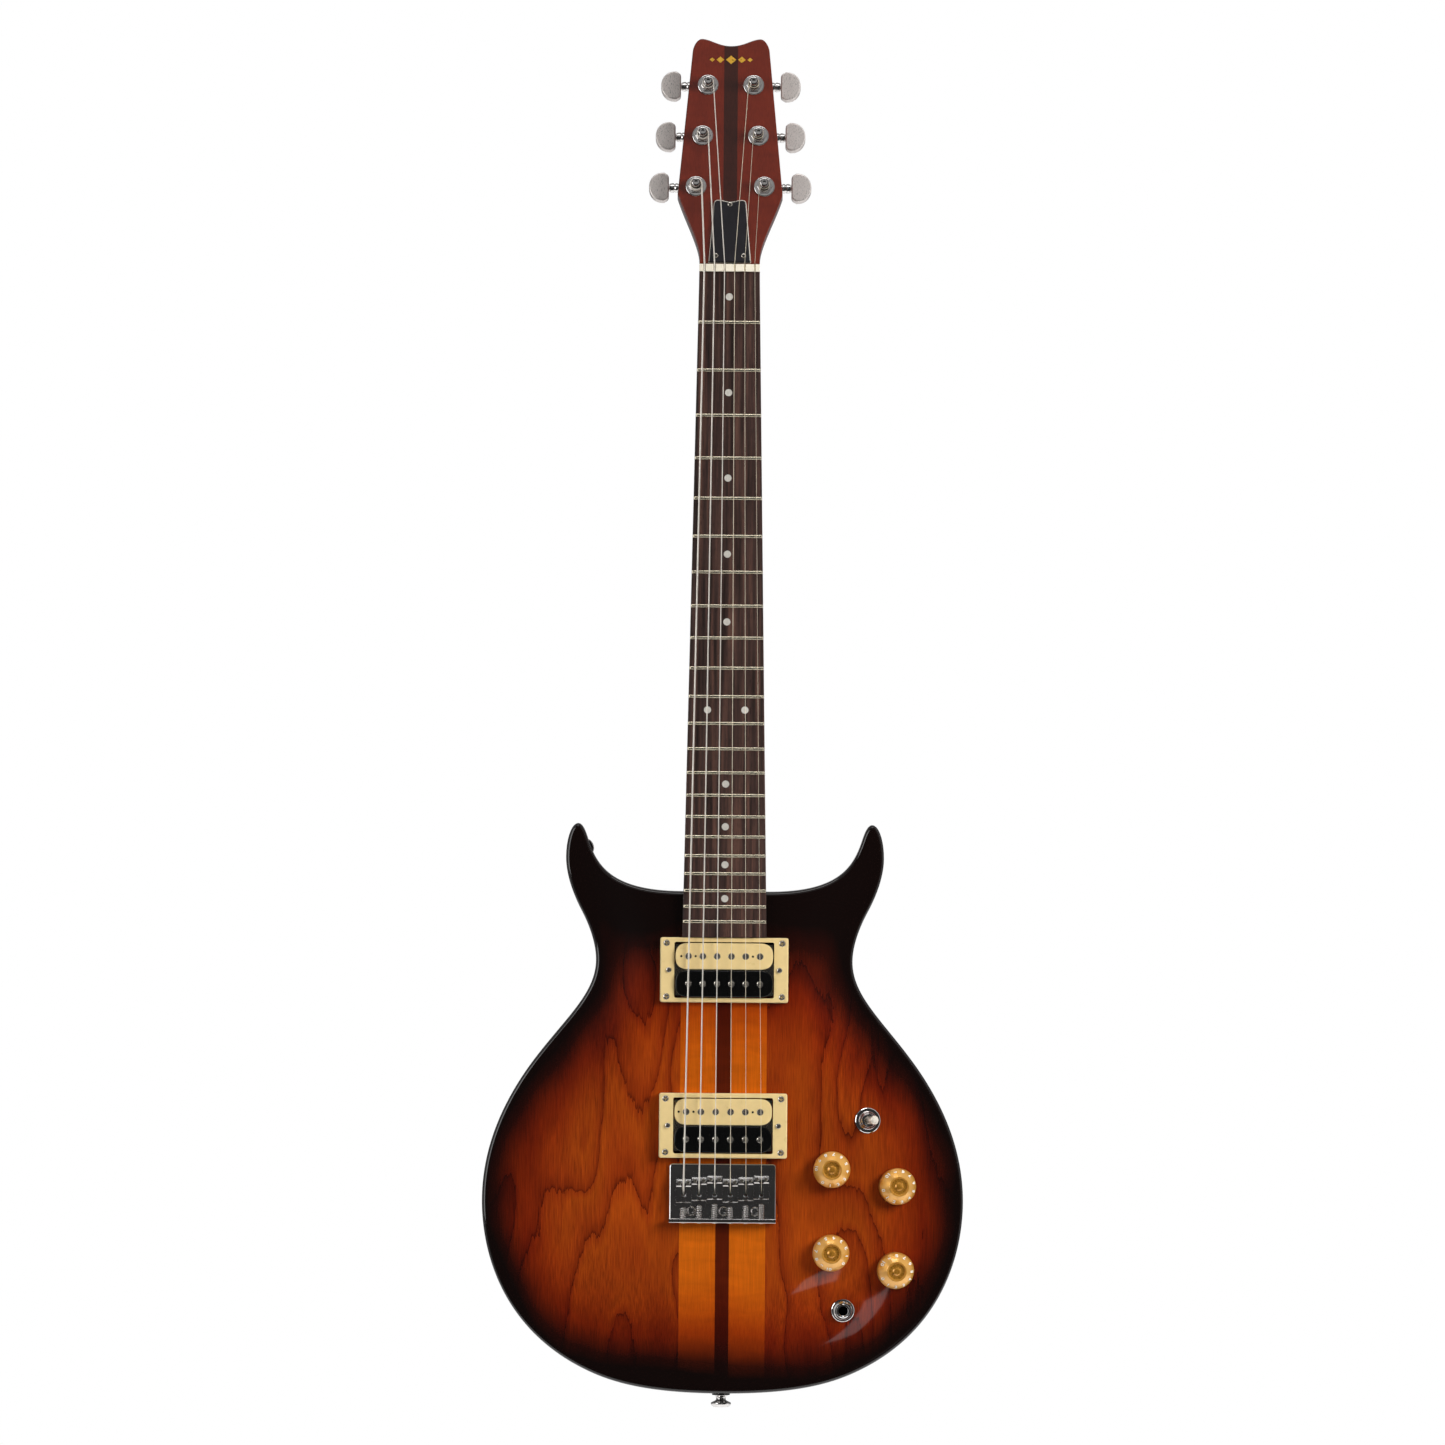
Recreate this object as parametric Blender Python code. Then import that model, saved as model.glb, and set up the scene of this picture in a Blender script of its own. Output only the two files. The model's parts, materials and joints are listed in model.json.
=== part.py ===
"""Electric guitar with two cutaways and a laminated neck that runs through the body.

Metres. X runs towards the treble side, -Y faces the listener and Z runs up the neck.
The origin is the centre of the flat end of the strap button at the tail.
"""

import math

import bmesh
import bpy
from mathutils import Matrix, Vector
from mathutils.geometry import delaunay_2d_cdt, interpolate_bezier

GAP = 0.0003  # left between pieces that touch
OVERLAP = 0.002  # how far a cutter runs past the face it opens
TURN_STEPS = 16

# Neck and scale
SCALE_LENGTH = 0.62865
FRET_COUNT = 22
TAIL_BUTTON_LENGTH = 0.0097
TAIL_TO_SCALE_LINE = 0.15235  # from the body's tail edge to the bridge end of the scale
NUT_THICKNESS = 0.0055
NUT_EDGE_MARGIN = 0.0034  # fretboard beside the outer strings at the nut
BOARD_EDGE_MARGIN = 0.0048  # and at its body end
BOARD_THICKNESS = 0.0060
BOARD_RADIUS = 0.305
BOARD_PAST_LAST_FRET = 0.0108
FRET_HALF_WIDTH = 0.0012
FRET_HEIGHT = 0.0011
NECK_DEPTH_AT_NUT = 0.0150
NECK_DEPTH_AT_HEEL = 0.0175
HEEL_LENGTH = 0.050

# Body
BODY_THICKNESS = 0.044
LOWER_BOUT_HALF = 0.1675
LOWER_BOUT_RISE = 0.1340
WAIST_HALF = 0.0893
WAIST_RISE = 0.3015
HORN_HALF = 0.1107
HORN_RISE = 0.3730
HORN_TIP_HALF = 0.1025
HORN_TIP_RISE = 0.3965
CUTAWAY_RISE = 0.3495
CORE_SIDE_MARGIN = 0.0007  # wood of the neck beam that shows beside the fretboard
ARCH_DROP = 0.0080  # how far the rim lies below the crown of the front
ARCH_START = 0.45  # shares of the way from centre to rim
ARCH_END = 0.95
RIM_RADIUS = 0.0030
GRID_STEP = 0.022

# Headstock, in its own plane, which leans back from the nut
HEAD_ANGLE = math.radians(14)
HEAD_THICKNESS = 0.0140
HEAD_LENGTH = 0.1627
HEAD_TOP_DIP = 0.0051
HEAD_PEAK_HALF = 0.0205
HEAD_TOP_HALF = 0.0268
HEAD_CHEEK_HALF = 0.0366
HEAD_CHEEK_RISE = 0.0500
POST_HALF_SPREADS = (0.0238, 0.0194, 0.0159)
POST_RISES = (0.0557, 0.0924, 0.1291)
POST_RADIUS = 0.0030
POST_HEIGHT = 0.0125
POST_PIN_RADIUS = 0.0020
POST_HOLE_CLEARANCE = 0.0012
WRAP_HEIGHT = 0.0075
WRAP_TURNS = 2.25
HOUSING_HALF_WIDTH = 0.0075
HOUSING_HALF_LENGTH = 0.0090
HOUSING_DEPTH = 0.0090
WORM_OFFSET = 0.0040
WORM_DEPTH = 0.0048
WORM_RADIUS = 0.0015
BUTTON_NEAR = 0.0189
BUTTON_LENGTH = 0.0139
BUTTON_HALF_HEIGHT = 0.0102
BUTTON_HALF_THICKNESS = 0.0038

# Truss rod and its cover
ROD_RADIUS = 0.0025
ROD_DEPTH = 0.0070
ROD_NUT_RADIUS = 0.0034
ROD_REACH = 0.0120
ROD_CLEARANCE = 0.0005
ROD_COVER_TOP_HALF = 0.0112
ROD_COVER_FOOT_HALF = 0.0148
ROD_COVER_LENGTH = 0.0465
ROD_COVER_THICKNESS = 0.0020

# Strings
STRINGS = ("low_e", "a", "d", "g", "b", "high_e")
STRING_DIAMETERS = (0.00117, 0.00091, 0.00066, 0.00043, 0.00033, 0.00025)
NUT_STRING_SPACING = 0.00704
BRIDGE_STRING_SPACING = 0.0108
NUT_STRING_HEIGHT = 0.0016  # underside of a string above the fretboard
BRIDGE_STRING_HEIGHT = 0.0105  # underside of a string above the body
STRING_HOLE_RADIUS = 0.0015
STRING_HOLE_BACK = 0.0145  # behind the scale line

# Bridge
BRIDGE_SIDE_MARGIN = 0.0047  # plate beside the outer saddles
BRIDGE_FRONT = 0.0081
BRIDGE_BACK = 0.0332
BRIDGE_PLATE_THICKNESS = 0.0024
BRIDGE_LIP_HEIGHT = 0.0090
BRIDGE_LIP_THICKNESS = 0.0030
SADDLE_CLEARANCE = 0.0006
SADDLE_TRAVEL = 0.0025
SADDLE_SETBACKS = (0.0059, 0.0044, 0.0034, 0.0054, 0.0042, 0.0032)
SADDLE_CREST_LENGTH = 0.0014
SADDLE_NOSE = 0.0030
SADDLE_SLOT_LENGTH = 0.0130
SADDLE_SLOT_HALF = 0.0022
SADDLE_HEEL = 0.0020
SADDLE_WALL_HEIGHT = 0.0048
GRUB_RADIUS = 0.0013

# Pickups
WINDOW_HALF_WIDTH = 0.0347
WINDOW_HALF_LENGTH = 0.0195
RING_END_BAND = 0.0099  # width of the surround outside its window
RING_SIDE_BAND = 0.0031
NECK_RING_HEIGHT = 0.0045
BRIDGE_RING_HEIGHT = 0.0070
BRIDGE_RING_TO_PLATE = 0.0038
BOBBIN_CLEARANCE = 0.0008
BOBBIN_THICKNESS = 0.0100
PICKUP_TO_STRING = 0.0028
BASEPLATE_THICKNESS = 0.0012
BASEPLATE_EAR_REACH = 0.0068  # past the window, under the surround
BASEPLATE_EAR_HALF_LENGTH = 0.0045
PICKUP_CAVITY_DEPTH = 0.0200
CAVITY_CLEARANCE = 0.0010

# Controls, as places on the front: across, and above the body's tail edge
KNOBS = {
    "volume_neck": (0.0759, 0.1568),
    "volume_bridge": (0.1211, 0.1453),
    "tone_neck": (0.0754, 0.0990),
    "tone_bridge": (0.1203, 0.0871),
}
SWITCH_PLACE = (0.1006, 0.1911)
JACK_PLACE = (0.0843, 0.0588)
KNOB_RADIUS = 0.0129
KNOB_HEIGHT = 0.0135
KNOB_LIFT = 0.0010
SHAFT_RADIUS = 0.0030
SHAFT_DEPTH = 0.0100
SHAFT_CLEARANCE = 0.0003
BUSHING_RADIUS = 0.0047
BUSHING_CLEARANCE = 0.0004
POT_RADIUS = 0.0120
POT_NUT_RADIUS = 0.0070
POT_TOP_DEPTH = 0.0125
POT_HEIGHT = 0.0080
WASHER_RADIUS = 0.0080
SWITCH_WASHER_RADIUS = 0.0088
LEVER_LENGTH = 0.0115
LEVER_TIP_RADIUS = 0.0032
LEVER_LEAN = math.radians(17)
JACK_BORE_RADIUS = 0.0033
CONTROL_CAVITY_FLOOR = 0.0115  # below the crown of the front
COVER_THICKNESS = 0.0020
COVER_LEDGE = 0.0060

# Strap buttons
STRAP_FLANGE_RADIUS = 0.0070
STRAP_WAIST_RADIUS = 0.0033
HORN_BUTTON_PLACE = (-0.0985, 0.3790)
HORN_BUTTON_HEIGHT = 0.0090

# Places worked out from the sizes above
FRONT_Y = -BODY_THICKNESS / 2
BACK_Y = BODY_THICKNESS / 2
BODY_TAIL_Z = TAIL_BUTTON_LENGTH
BRIDGE_Z = BODY_TAIL_Z + TAIL_TO_SCALE_LINE
NUT_Z = BRIDGE_Z + SCALE_LENGTH
CUTAWAY_Z = BODY_TAIL_Z + CUTAWAY_RISE
LAST_FRET_Z = BRIDGE_Z + SCALE_LENGTH / 2 ** (FRET_COUNT / 12)
BOARD_END_Z = LAST_FRET_Z - BOARD_PAST_LAST_FRET
NUT_HALF_WIDTH = 2.5 * NUT_STRING_SPACING + NUT_EDGE_MARGIN
BOARD_END_SPACING = BRIDGE_STRING_SPACING + (NUT_STRING_SPACING - BRIDGE_STRING_SPACING) * (
    (BOARD_END_Z - BRIDGE_Z) / SCALE_LENGTH
)
BOARD_END_HALF_WIDTH = 2.5 * BOARD_END_SPACING + BOARD_EDGE_MARGIN
BRIDGE_HALF_WIDTH = 3 * BRIDGE_STRING_SPACING + BRIDGE_SIDE_MARGIN
RING_HALF_WIDTH = WINDOW_HALF_WIDTH + RING_END_BAND
RING_HALF_LENGTH = WINDOW_HALF_LENGTH + RING_SIDE_BAND
BASEPLATE_EAR_HALF_WIDTH = WINDOW_HALF_WIDTH + BASEPLATE_EAR_REACH
BOARD_FOOT_Y = FRONT_Y - GAP
BOARD_TOP_Y = BOARD_FOOT_Y - BOARD_THICKNESS
CORE_HALF = BOARD_END_HALF_WIDTH + CORE_SIDE_MARGIN
PLATE_TOP_Y = FRONT_Y - GAP - BRIDGE_PLATE_THICKNESS
NECK_RING_Z = BOARD_END_Z - GAP - RING_HALF_LENGTH
BRIDGE_RING_Z = BRIDGE_Z + BRIDGE_FRONT + BRIDGE_RING_TO_PLATE + RING_HALF_LENGTH
HEAD_FOOT = Vector((0, FRONT_Y, NUT_Z + NUT_THICKNESS))
HEAD_FRAME = Matrix.Translation(HEAD_FOOT) @ Matrix.Rotation(math.pi / 2 - HEAD_ANGLE, 4, "X")
FRONT_FRAME = Matrix.Translation((0, FRONT_Y, 0)) @ Matrix.Rotation(math.pi / 2, 4, "X")
BACK_FRAME = Matrix.Translation((0, BACK_Y, 0)) @ Matrix.Rotation(-math.pi / 2, 4, "X")


# Materials


def material(name, colour, roughness, metallic=0.0):
    made = bpy.data.materials.new(name)
    made.use_nodes = True
    shader = made.node_tree.nodes["Principled BSDF"]
    shader.inputs["Base Color"].default_value = (*colour, 1.0)
    shader.inputs["Roughness"].default_value = roughness
    shader.inputs["Metallic"].default_value = metallic
    return made


def all_materials():
    return {
        "neck_wood": material("neck_wood", (0.42, 0.13, 0.02), 0.2),
        "body_wood": material("body_wood", (0.20, 0.03, 0.008), 0.15),
        "rosewood": material("rosewood", (0.05, 0.022, 0.015), 0.5),
        "bone": material("bone", (0.80, 0.74, 0.58), 0.4),
        "cream_plastic": material("cream_plastic", (0.86, 0.68, 0.38), 0.35),
        "black_plastic": material("black_plastic", (0.01, 0.01, 0.01), 0.25),
        "gold_plastic": material("gold_plastic", (0.80, 0.46, 0.08), 0.25, 0.6),
        "chrome": material("chrome", (0.75, 0.75, 0.77), 0.1, 1.0),
        "steel": material("steel", (0.55, 0.55, 0.56), 0.3, 1.0),
        "wound_steel": material("wound_steel", (0.62, 0.60, 0.56), 0.35, 1.0),
    }


# Mesh helpers


def mesh_of(bm):
    bmesh.ops.remove_doubles(bm, verts=bm.verts, dist=1e-7)
    bmesh.ops.recalc_face_normals(bm, faces=bm.faces)
    mesh = bpy.data.meshes.new("shape")
    bm.to_mesh(mesh)
    bm.free()
    return mesh


def add(name, mesh, finish, frame=None):
    """A new object with its origin at the frame's own origin."""
    made = bpy.data.objects.new(name, mesh)
    bpy.context.scene.collection.objects.link(made)
    made.matrix_world = frame or Matrix.Identity(4)
    if finish:
        made.data.materials.append(finish)
    made.data.shade_smooth()
    made.data.set_sharp_from_angle(angle=math.radians(35))
    return made


def helper(mesh, frame=None):
    made = add("helper", mesh, None, frame)
    made.hide_render = True
    made.display_type = "WIRE"
    return made


def boolean(target, operation, *others):
    for other in others:
        step = target.modifiers.new(operation.lower(), "BOOLEAN")
        step.operation = operation
        step.object = other


def prism(outline, low, high):
    """A closed solid with a plan outline in XY, from one height to another."""
    bm = bmesh.new()
    face = bm.faces.new([bm.verts.new((x, y, low)) for x, y in outline])
    raised = bmesh.ops.extrude_face_region(bm, geom=[face])["geom"]
    verts = [item for item in raised if isinstance(item, bmesh.types.BMVert)]
    bmesh.ops.translate(bm, vec=(0, 0, high - low), verts=verts)
    return mesh_of(bm)


def turned(profile, steps=TURN_STEPS):
    """A solid turned about Z from a profile of radii and heights that starts and ends on the axis."""
    bm = bmesh.new()
    verts = [bm.verts.new((radius, 0, height)) for radius, height in profile]
    edges = [bm.edges.new(pair) for pair in zip(verts, verts[1:])]
    bmesh.ops.spin(
        bm, geom=verts + edges, cent=(0, 0, 0), axis=(0, 0, 1), angle=math.tau, steps=steps, use_merge=True
    )
    return mesh_of(bm)


def rod(radius, low, high, steps=TURN_STEPS):
    return turned([(0, low), (radius, low), (radius, high), (0, high)], steps)


def loft(sections):
    """A closed solid through loops that all have the same number of points."""
    bm = bmesh.new()
    rings = [[bm.verts.new(point) for point in section] for section in sections]
    for ring, following in zip(rings, rings[1:]):
        for a in range(len(ring)):
            b = (a + 1) % len(ring)
            bm.faces.new((ring[a], ring[b], following[b], following[a]))
    bm.faces.new(rings[0])
    bm.faces.new(rings[-1])
    return mesh_of(bm)


def box(low, high):
    (x0, y0, z0), (x1, y1, z1) = low, high
    return prism([(x0, y0), (x1, y0), (x1, y1), (x0, y1)], z0, z1)


def rounded(corners, radius, steps=4):
    """The outline through these corners, each cut back to an arc."""
    outline = []
    count = len(corners)
    for i in range(count):
        corner = Vector(corners[i])
        before = (Vector(corners[i - 1]) - corner).normalized()
        after = (Vector(corners[(i + 1) % count]) - corner).normalized()
        half = before.angle(after) / 2
        reach = radius / math.tan(half)
        centre = corner + (before + after).normalized() * radius / math.sin(half)
        start = corner + before * reach - centre
        turn = start.angle_signed(corner + after * reach - centre)
        for step in range(steps + 1):
            arm = start.copy()
            arm.rotate(Matrix.Rotation(-turn * step / steps, 2))
            outline.append(tuple(centre + arm))
    return outline


def rectangle(half_x, half_y, centre=(0, 0)):
    x, y = centre
    return [(x - half_x, y - half_y), (x + half_x, y - half_y), (x + half_x, y + half_y), (x - half_x, y + half_y)]


# Body plan and arch


def body_knots():
    """Half of the body's plan, from the tail to the treble cutaway: place, heading in degrees, and the
    two handles as shares of the way to the knots beside it."""
    bout = Vector((LOWER_BOUT_HALF, LOWER_BOUT_RISE))
    waist = Vector((WAIST_HALF, WAIST_RISE))
    horn = Vector((HORN_HALF, HORN_RISE))
    tip = Vector((HORN_TIP_HALF, HORN_TIP_RISE))
    hook = tip + Vector((-0.0072, -0.0115))
    return (
        (Vector((0, 0)), 0, 0, 0.515),
        (Vector((0.541 * bout.x, 0.106 * bout.y)), 24.0, 0.220, 0.508),
        (bout, 90, 0.216, 0.363),
        (bout.lerp(waist, 0.59) + Vector((0.0097, 0)), 127.0, 0.328, 0.443),
        (waist, 90, 0.289, 0.331),
        (waist.lerp(horn, 0.478), 62.0, 0.300, 0.284),
        (horn, 90, 0.337, 0.522),
        (tip, 180, 0.181, 0.260),
        (hook, 252, 0.370, 0.269),
        (Vector((CORE_HALF, CUTAWAY_RISE)), 180, 0.646, 0),
    )


def half_plan(resolution=7):
    """The treble half of the plan as points across and up, from the tail to the side of the neck."""
    knots = body_knots()
    points = []
    for (a, turn_a, _, out), (b, turn_b, into, _) in zip(knots, knots[1:]):
        span = (b - a).length
        leave = a + Vector((math.cos(math.radians(turn_a)), math.sin(math.radians(turn_a)))) * out * span
        arrive = b - Vector((math.cos(math.radians(turn_b)), math.sin(math.radians(turn_b)))) * into * span
        points += interpolate_bezier(a, leave, arrive, b, resolution)[:-1]
    points.append(knots[-1][0])
    return [Vector((p.x, p.y + BODY_TAIL_Z)) for p in points]


HALF_PLAN = half_plan()
RIM = [Vector((-p.x, p.y)) for p in reversed(HALF_PLAN)][:-1] + HALF_PLAN


def rim_distance(point):
    nearest = math.inf
    for a, b in zip(RIM, RIM[1:]):
        along = max(0.0, min(1.0, (point - a).dot(b - a) / (b - a).length_squared))
        nearest = min(nearest, (a.lerp(b, along) - point).length)
    return nearest


def half_width_at(z):
    """Half of the body's width at this height, following the outer side of the horns."""
    widest = HORN_TIP_HALF
    for a, b in zip(HALF_PLAN, HALF_PLAN[1:]):
        if a.y <= z < b.y:
            return max(CORE_HALF, a.x + (b.x - a.x) * (z - a.y) / (b.y - a.y))
    return widest


def arch_drop(x, z):
    """How far the front falls below its crown: level in the middle, level again at the rim."""
    bout_z = BODY_TAIL_Z + LOWER_BOUT_RISE
    if z < bout_z:
        share = math.hypot(x / LOWER_BOUT_HALF, (z - bout_z) / LOWER_BOUT_RISE)
    else:
        share = abs(x) / half_width_at(z)
    s = max(0.0, min(1.0, (share - ARCH_START) / (ARCH_END - ARCH_START)))
    return ARCH_DROP * s * s * (3 - 2 * s)


def rim_drop(distance):
    if distance >= RIM_RADIUS:
        return 0.0
    return RIM_RADIUS - math.sqrt(RIM_RADIUS**2 - (RIM_RADIUS - distance) ** 2)


def front_y(point):
    return FRONT_Y + arch_drop(point.x, point.y) + rim_drop(rim_distance(point))


def back_y(point):
    return BACK_Y - rim_drop(rim_distance(point))


def inside(point, outline):
    crossings = 0
    for a, b in zip(outline, outline[1:] + outline[:1]):
        if (a.y > point.y) != (b.y > point.y):
            crossings += point.x < a.x + (b.x - a.x) * (point.y - a.y) / (b.y - a.y)
    return crossings % 2 == 1


def skin_points(outline, grid):
    """The outline, a row of points along each step of the rounded rim, and a grid inside them."""
    points = list(outline)
    for share in (0.293, 1.0):
        inset = RIM_RADIUS * share
        for a, b in zip(RIM, RIM[1:]):
            way = (b - a).normalized()
            point = a.lerp(b, 0.5) + Vector((-way.y, way.x)) * inset
            if inside(point, outline) and rim_distance(point) > 0.98 * inset:
                points.append(point)
    if grid:
        lowest = min(p.y for p in outline)
        for i in range(-8, 9):
            for j in range(20):
                point = Vector((i * GRID_STEP + 0.0005, lowest + (j + 0.5) * GRID_STEP))
                if inside(point, outline) and rim_distance(point) > RIM_RADIUS + GRID_STEP / 4:
                    points.append(point)
    return points


def body_slab(outline):
    """A solid with this plan between the arched front and the flat back."""
    bm = bmesh.new()
    walls = []
    for height, grid in ((front_y, True), (back_y, False)):
        points = skin_points(outline, grid)
        spots, _, faces, sources, _, _ = delaunay_2d_cdt(points, [], [range(len(outline))], 1, 1e-7)
        verts = [bm.verts.new((spot.x, height(spot), spot.y)) for spot in spots]
        for face in faces:
            bm.faces.new([verts[i] for i in face])
        place = {source: vert for vert, found in zip(verts, sources) for source in found}
        walls.append([place[i] for i in range(len(outline))])
    front, back = walls
    for i in range(len(outline)):
        j = (i + 1) % len(outline)
        bm.faces.new((front[i], front[j], back[j], back[i]))
    return mesh_of(bm)


def seam(x, low, high):
    """Points up a straight cut through the body."""
    count = 12
    return [Vector((x, low + (high - low) * i / count)) for i in range(1, count)]


def wing_plan():
    """Plan of the treble wing, beside the beam of the neck."""
    edge = CORE_HALF + GAP
    curve = [p for p in HALF_PLAN if p.x > edge + 0.001]
    after = next(i for i, p in enumerate(HALF_PLAN) if p.x > edge)
    a, b = HALF_PLAN[after - 1], HALF_PLAN[after]
    foot = a.lerp(b, (edge - a.x) / (b.x - a.x))
    top = Vector((edge, CUTAWAY_Z))
    return [foot] + curve + [top] + list(reversed(seam(edge, foot.y, top.y)))


def core_plan():
    """Plan of the beam's stretch through the body."""
    after = next(i for i, p in enumerate(HALF_PLAN) if p.x > CORE_HALF)
    a, b = HALF_PLAN[after - 1], HALF_PLAN[after]
    foot = a.lerp(b, (CORE_HALF - a.x) / (b.x - a.x))
    right = [p for p in HALF_PLAN[:after] if p.x > 0.001] + [foot]
    side = seam(CORE_HALF, foot.y, CUTAWAY_Z)
    left = [Vector((-p.x, p.y)) for p in reversed(right)]
    other = [Vector((-p.x, p.y)) for p in reversed(side)]
    corners = [Vector((CORE_HALF, CUTAWAY_Z)), Vector((-CORE_HALF, CUTAWAY_Z))]
    return [HALF_PLAN[0]] + right + side + corners + other + left


def control_frame(place):
    """A frame on the front surface with Z along its normal."""
    x, rise = place
    z = BODY_TAIL_Z + rise
    step = 0.001
    slope_x = (arch_drop(x + step, z) - arch_drop(x - step, z)) / (2 * step)
    slope_z = (arch_drop(x, z + step) - arch_drop(x, z - step)) / (2 * step)
    normal = Vector((slope_x, -1, slope_z)).normalized()
    across = (Vector((1, 0, 0)) - normal * normal.x).normalized()
    up = normal.cross(across)
    frame = Matrix((across, up, normal)).transposed().to_4x4()
    return Matrix.Translation((x, FRONT_Y + arch_drop(x, z), z)) @ frame


# Strings


def string_radius(i):
    return STRING_DIAMETERS[i] / 2


def board_half_width(z):
    share = (NUT_Z - z) / (NUT_Z - BOARD_END_Z)
    return NUT_HALF_WIDTH + (BOARD_END_HALF_WIDTH - NUT_HALF_WIDTH) * share


def crown(x):
    """How far the fretboard's arched top falls at this distance from the middle."""
    return BOARD_RADIUS - math.sqrt(BOARD_RADIUS**2 - x * x)


def string_place(i, z):
    """The centre of string i over the neck and body."""
    at_nut = (i - 2.5) * NUT_STRING_SPACING
    at_bridge = (i - 2.5) * BRIDGE_STRING_SPACING
    share = (NUT_Z - z) / SCALE_LENGTH
    under_nut = BOARD_TOP_Y - NUT_STRING_HEIGHT + crown(at_nut)
    under_bridge = FRONT_Y - BRIDGE_STRING_HEIGHT + crown(at_bridge)
    x = at_nut + (at_bridge - at_nut) * share
    y = under_nut + (under_bridge - under_nut) * share - string_radius(i)
    return Vector((x, y, z))


def saddle_z(i):
    return BRIDGE_Z - SADDLE_SETBACKS[i]


def post_place(i):
    """The foot of string i's post on the headstock's face: across and up."""
    row = i if i < 3 else 5 - i
    side = -1 if i < 3 else 1
    return side * POST_HALF_SPREADS[row], POST_RISES[row]


def wrap_points(i):
    """Turns of string i down its post, from where it arrives on the inner side."""
    x, rise = post_place(i)
    side = -1 if i < 3 else 1
    radius = POST_RADIUS + string_radius(i) + GAP
    pitch = STRING_DIAMETERS[i] + GAP
    points = []
    steps_each_turn = 8
    for step in range(int(WRAP_TURNS * steps_each_turn) + 1):
        turns = step / steps_each_turn
        angle = math.tau * turns
        across = -side * radius * math.cos(angle)
        along = radius * math.sin(angle)
        height = WRAP_HEIGHT - string_radius(i) - pitch * turns
        points.append(HEAD_FRAME @ Vector((x + across, rise + along, height)))
    return points


def string_route(i):
    """From the back of the body, up through the bridge, along the neck and round the post."""
    hole_z = BRIDGE_Z - STRING_HOLE_BACK
    bend_z = saddle_z(i) - SADDLE_CREST_LENGTH - SADDLE_TRAVEL - GAP
    over = string_place(i, bend_z)
    return [
        Vector((over.x, BACK_Y - 0.0100, hole_z)),
        Vector((over.x, PLATE_TOP_Y, hole_z)),
        over.lerp(Vector((over.x, PLATE_TOP_Y, hole_z)), 0.12),
        over + Vector((0, 0, 0.0006)),
        string_place(i, NUT_Z),
        string_place(i, NUT_Z + NUT_THICKNESS + 0.0005),
        *wrap_points(i),
    ]


def add_string(i, finishes):
    curve = bpy.data.curves.new("string", "CURVE")
    curve.dimensions = "3D"
    curve.bevel_depth = string_radius(i)
    curve.bevel_resolution = 1
    curve.use_fill_caps = True
    spline = curve.splines.new("POLY")
    route = string_route(i)
    spline.points.add(len(route) - 1)
    for point, place in zip(spline.points, route):
        point.co = (*place, 1)
    made = bpy.data.objects.new(f"string_{STRINGS[i]}", curve)
    curve.materials.append(finishes["wound_steel" if i < 3 else "steel"])
    bpy.context.scene.collection.objects.link(made)


# Neck


def neck_section(z, half_width, depth):
    """A flat top under the fretboard and a rounded back."""
    steps = 12
    loop = []
    for i in range(steps + 1):
        angle = math.pi * i / steps
        across = math.copysign(abs(math.cos(angle)) ** 0.8, math.cos(angle))
        loop.append((half_width * across, FRONT_Y + depth * math.sin(angle) ** 0.9, z))
    return loop


def neck_mesh():
    heel_z = CUTAWAY_Z + HEEL_LENGTH
    sections = [neck_section(NUT_Z + NUT_THICKNESS, NUT_HALF_WIDTH, HEAD_THICKNESS)]
    for share in (0.03, 0.35, 0.7, 1.0):
        z = NUT_Z + (heel_z - NUT_Z) * share
        depth = NECK_DEPTH_AT_NUT + (NECK_DEPTH_AT_HEEL - NECK_DEPTH_AT_NUT) * share
        sections.append(neck_section(z, board_half_width(z), depth))
    full = BODY_THICKNESS - RIM_RADIUS
    for share, along in ((0.12, 0.35), (0.45, 0.7), (0.85, 1.0), (1.0, 1.4)):
        z = heel_z - HEEL_LENGTH * along
        depth = NECK_DEPTH_AT_HEEL + (full - NECK_DEPTH_AT_HEEL) * share
        sections.append(neck_section(z, board_half_width(z), depth))
    return loft(sections)


def head_plan():
    """Outline of the headstock in its own plane, across and up from the nut."""
    cheek = Vector((HEAD_CHEEK_HALF, HEAD_CHEEK_RISE))
    neck = Vector((NUT_HALF_WIDTH, HEAD_CHEEK_RISE * 0.08))
    flare = interpolate_bezier(neck, neck + Vector((0.0005, 0.012)), cheek + Vector((-0.0050, -0.0160)), cheek, 8)
    top = Vector((HEAD_TOP_HALF, HEAD_LENGTH - HEAD_TOP_DIP - 0.0035))
    peak = Vector((HEAD_PEAK_HALF, HEAD_LENGTH))
    dip = Vector((0, HEAD_LENGTH - HEAD_TOP_DIP))
    shoulder = interpolate_bezier(top, top + Vector((-0.0006, 0.0040)), peak + Vector((0.0030, 0)), peak, 5)
    scoop = interpolate_bezier(peak, peak - Vector((0.0060, 0)), dip + Vector((0.0090, 0)), dip, 6)
    right = [Vector((NUT_HALF_WIDTH, 0)), *flare, *shoulder, *scoop[1:-1]]
    left = [Vector((-p.x, p.y)) for p in reversed(right)]
    return [tuple(p) for p in [*right, dip, *left]]


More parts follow.
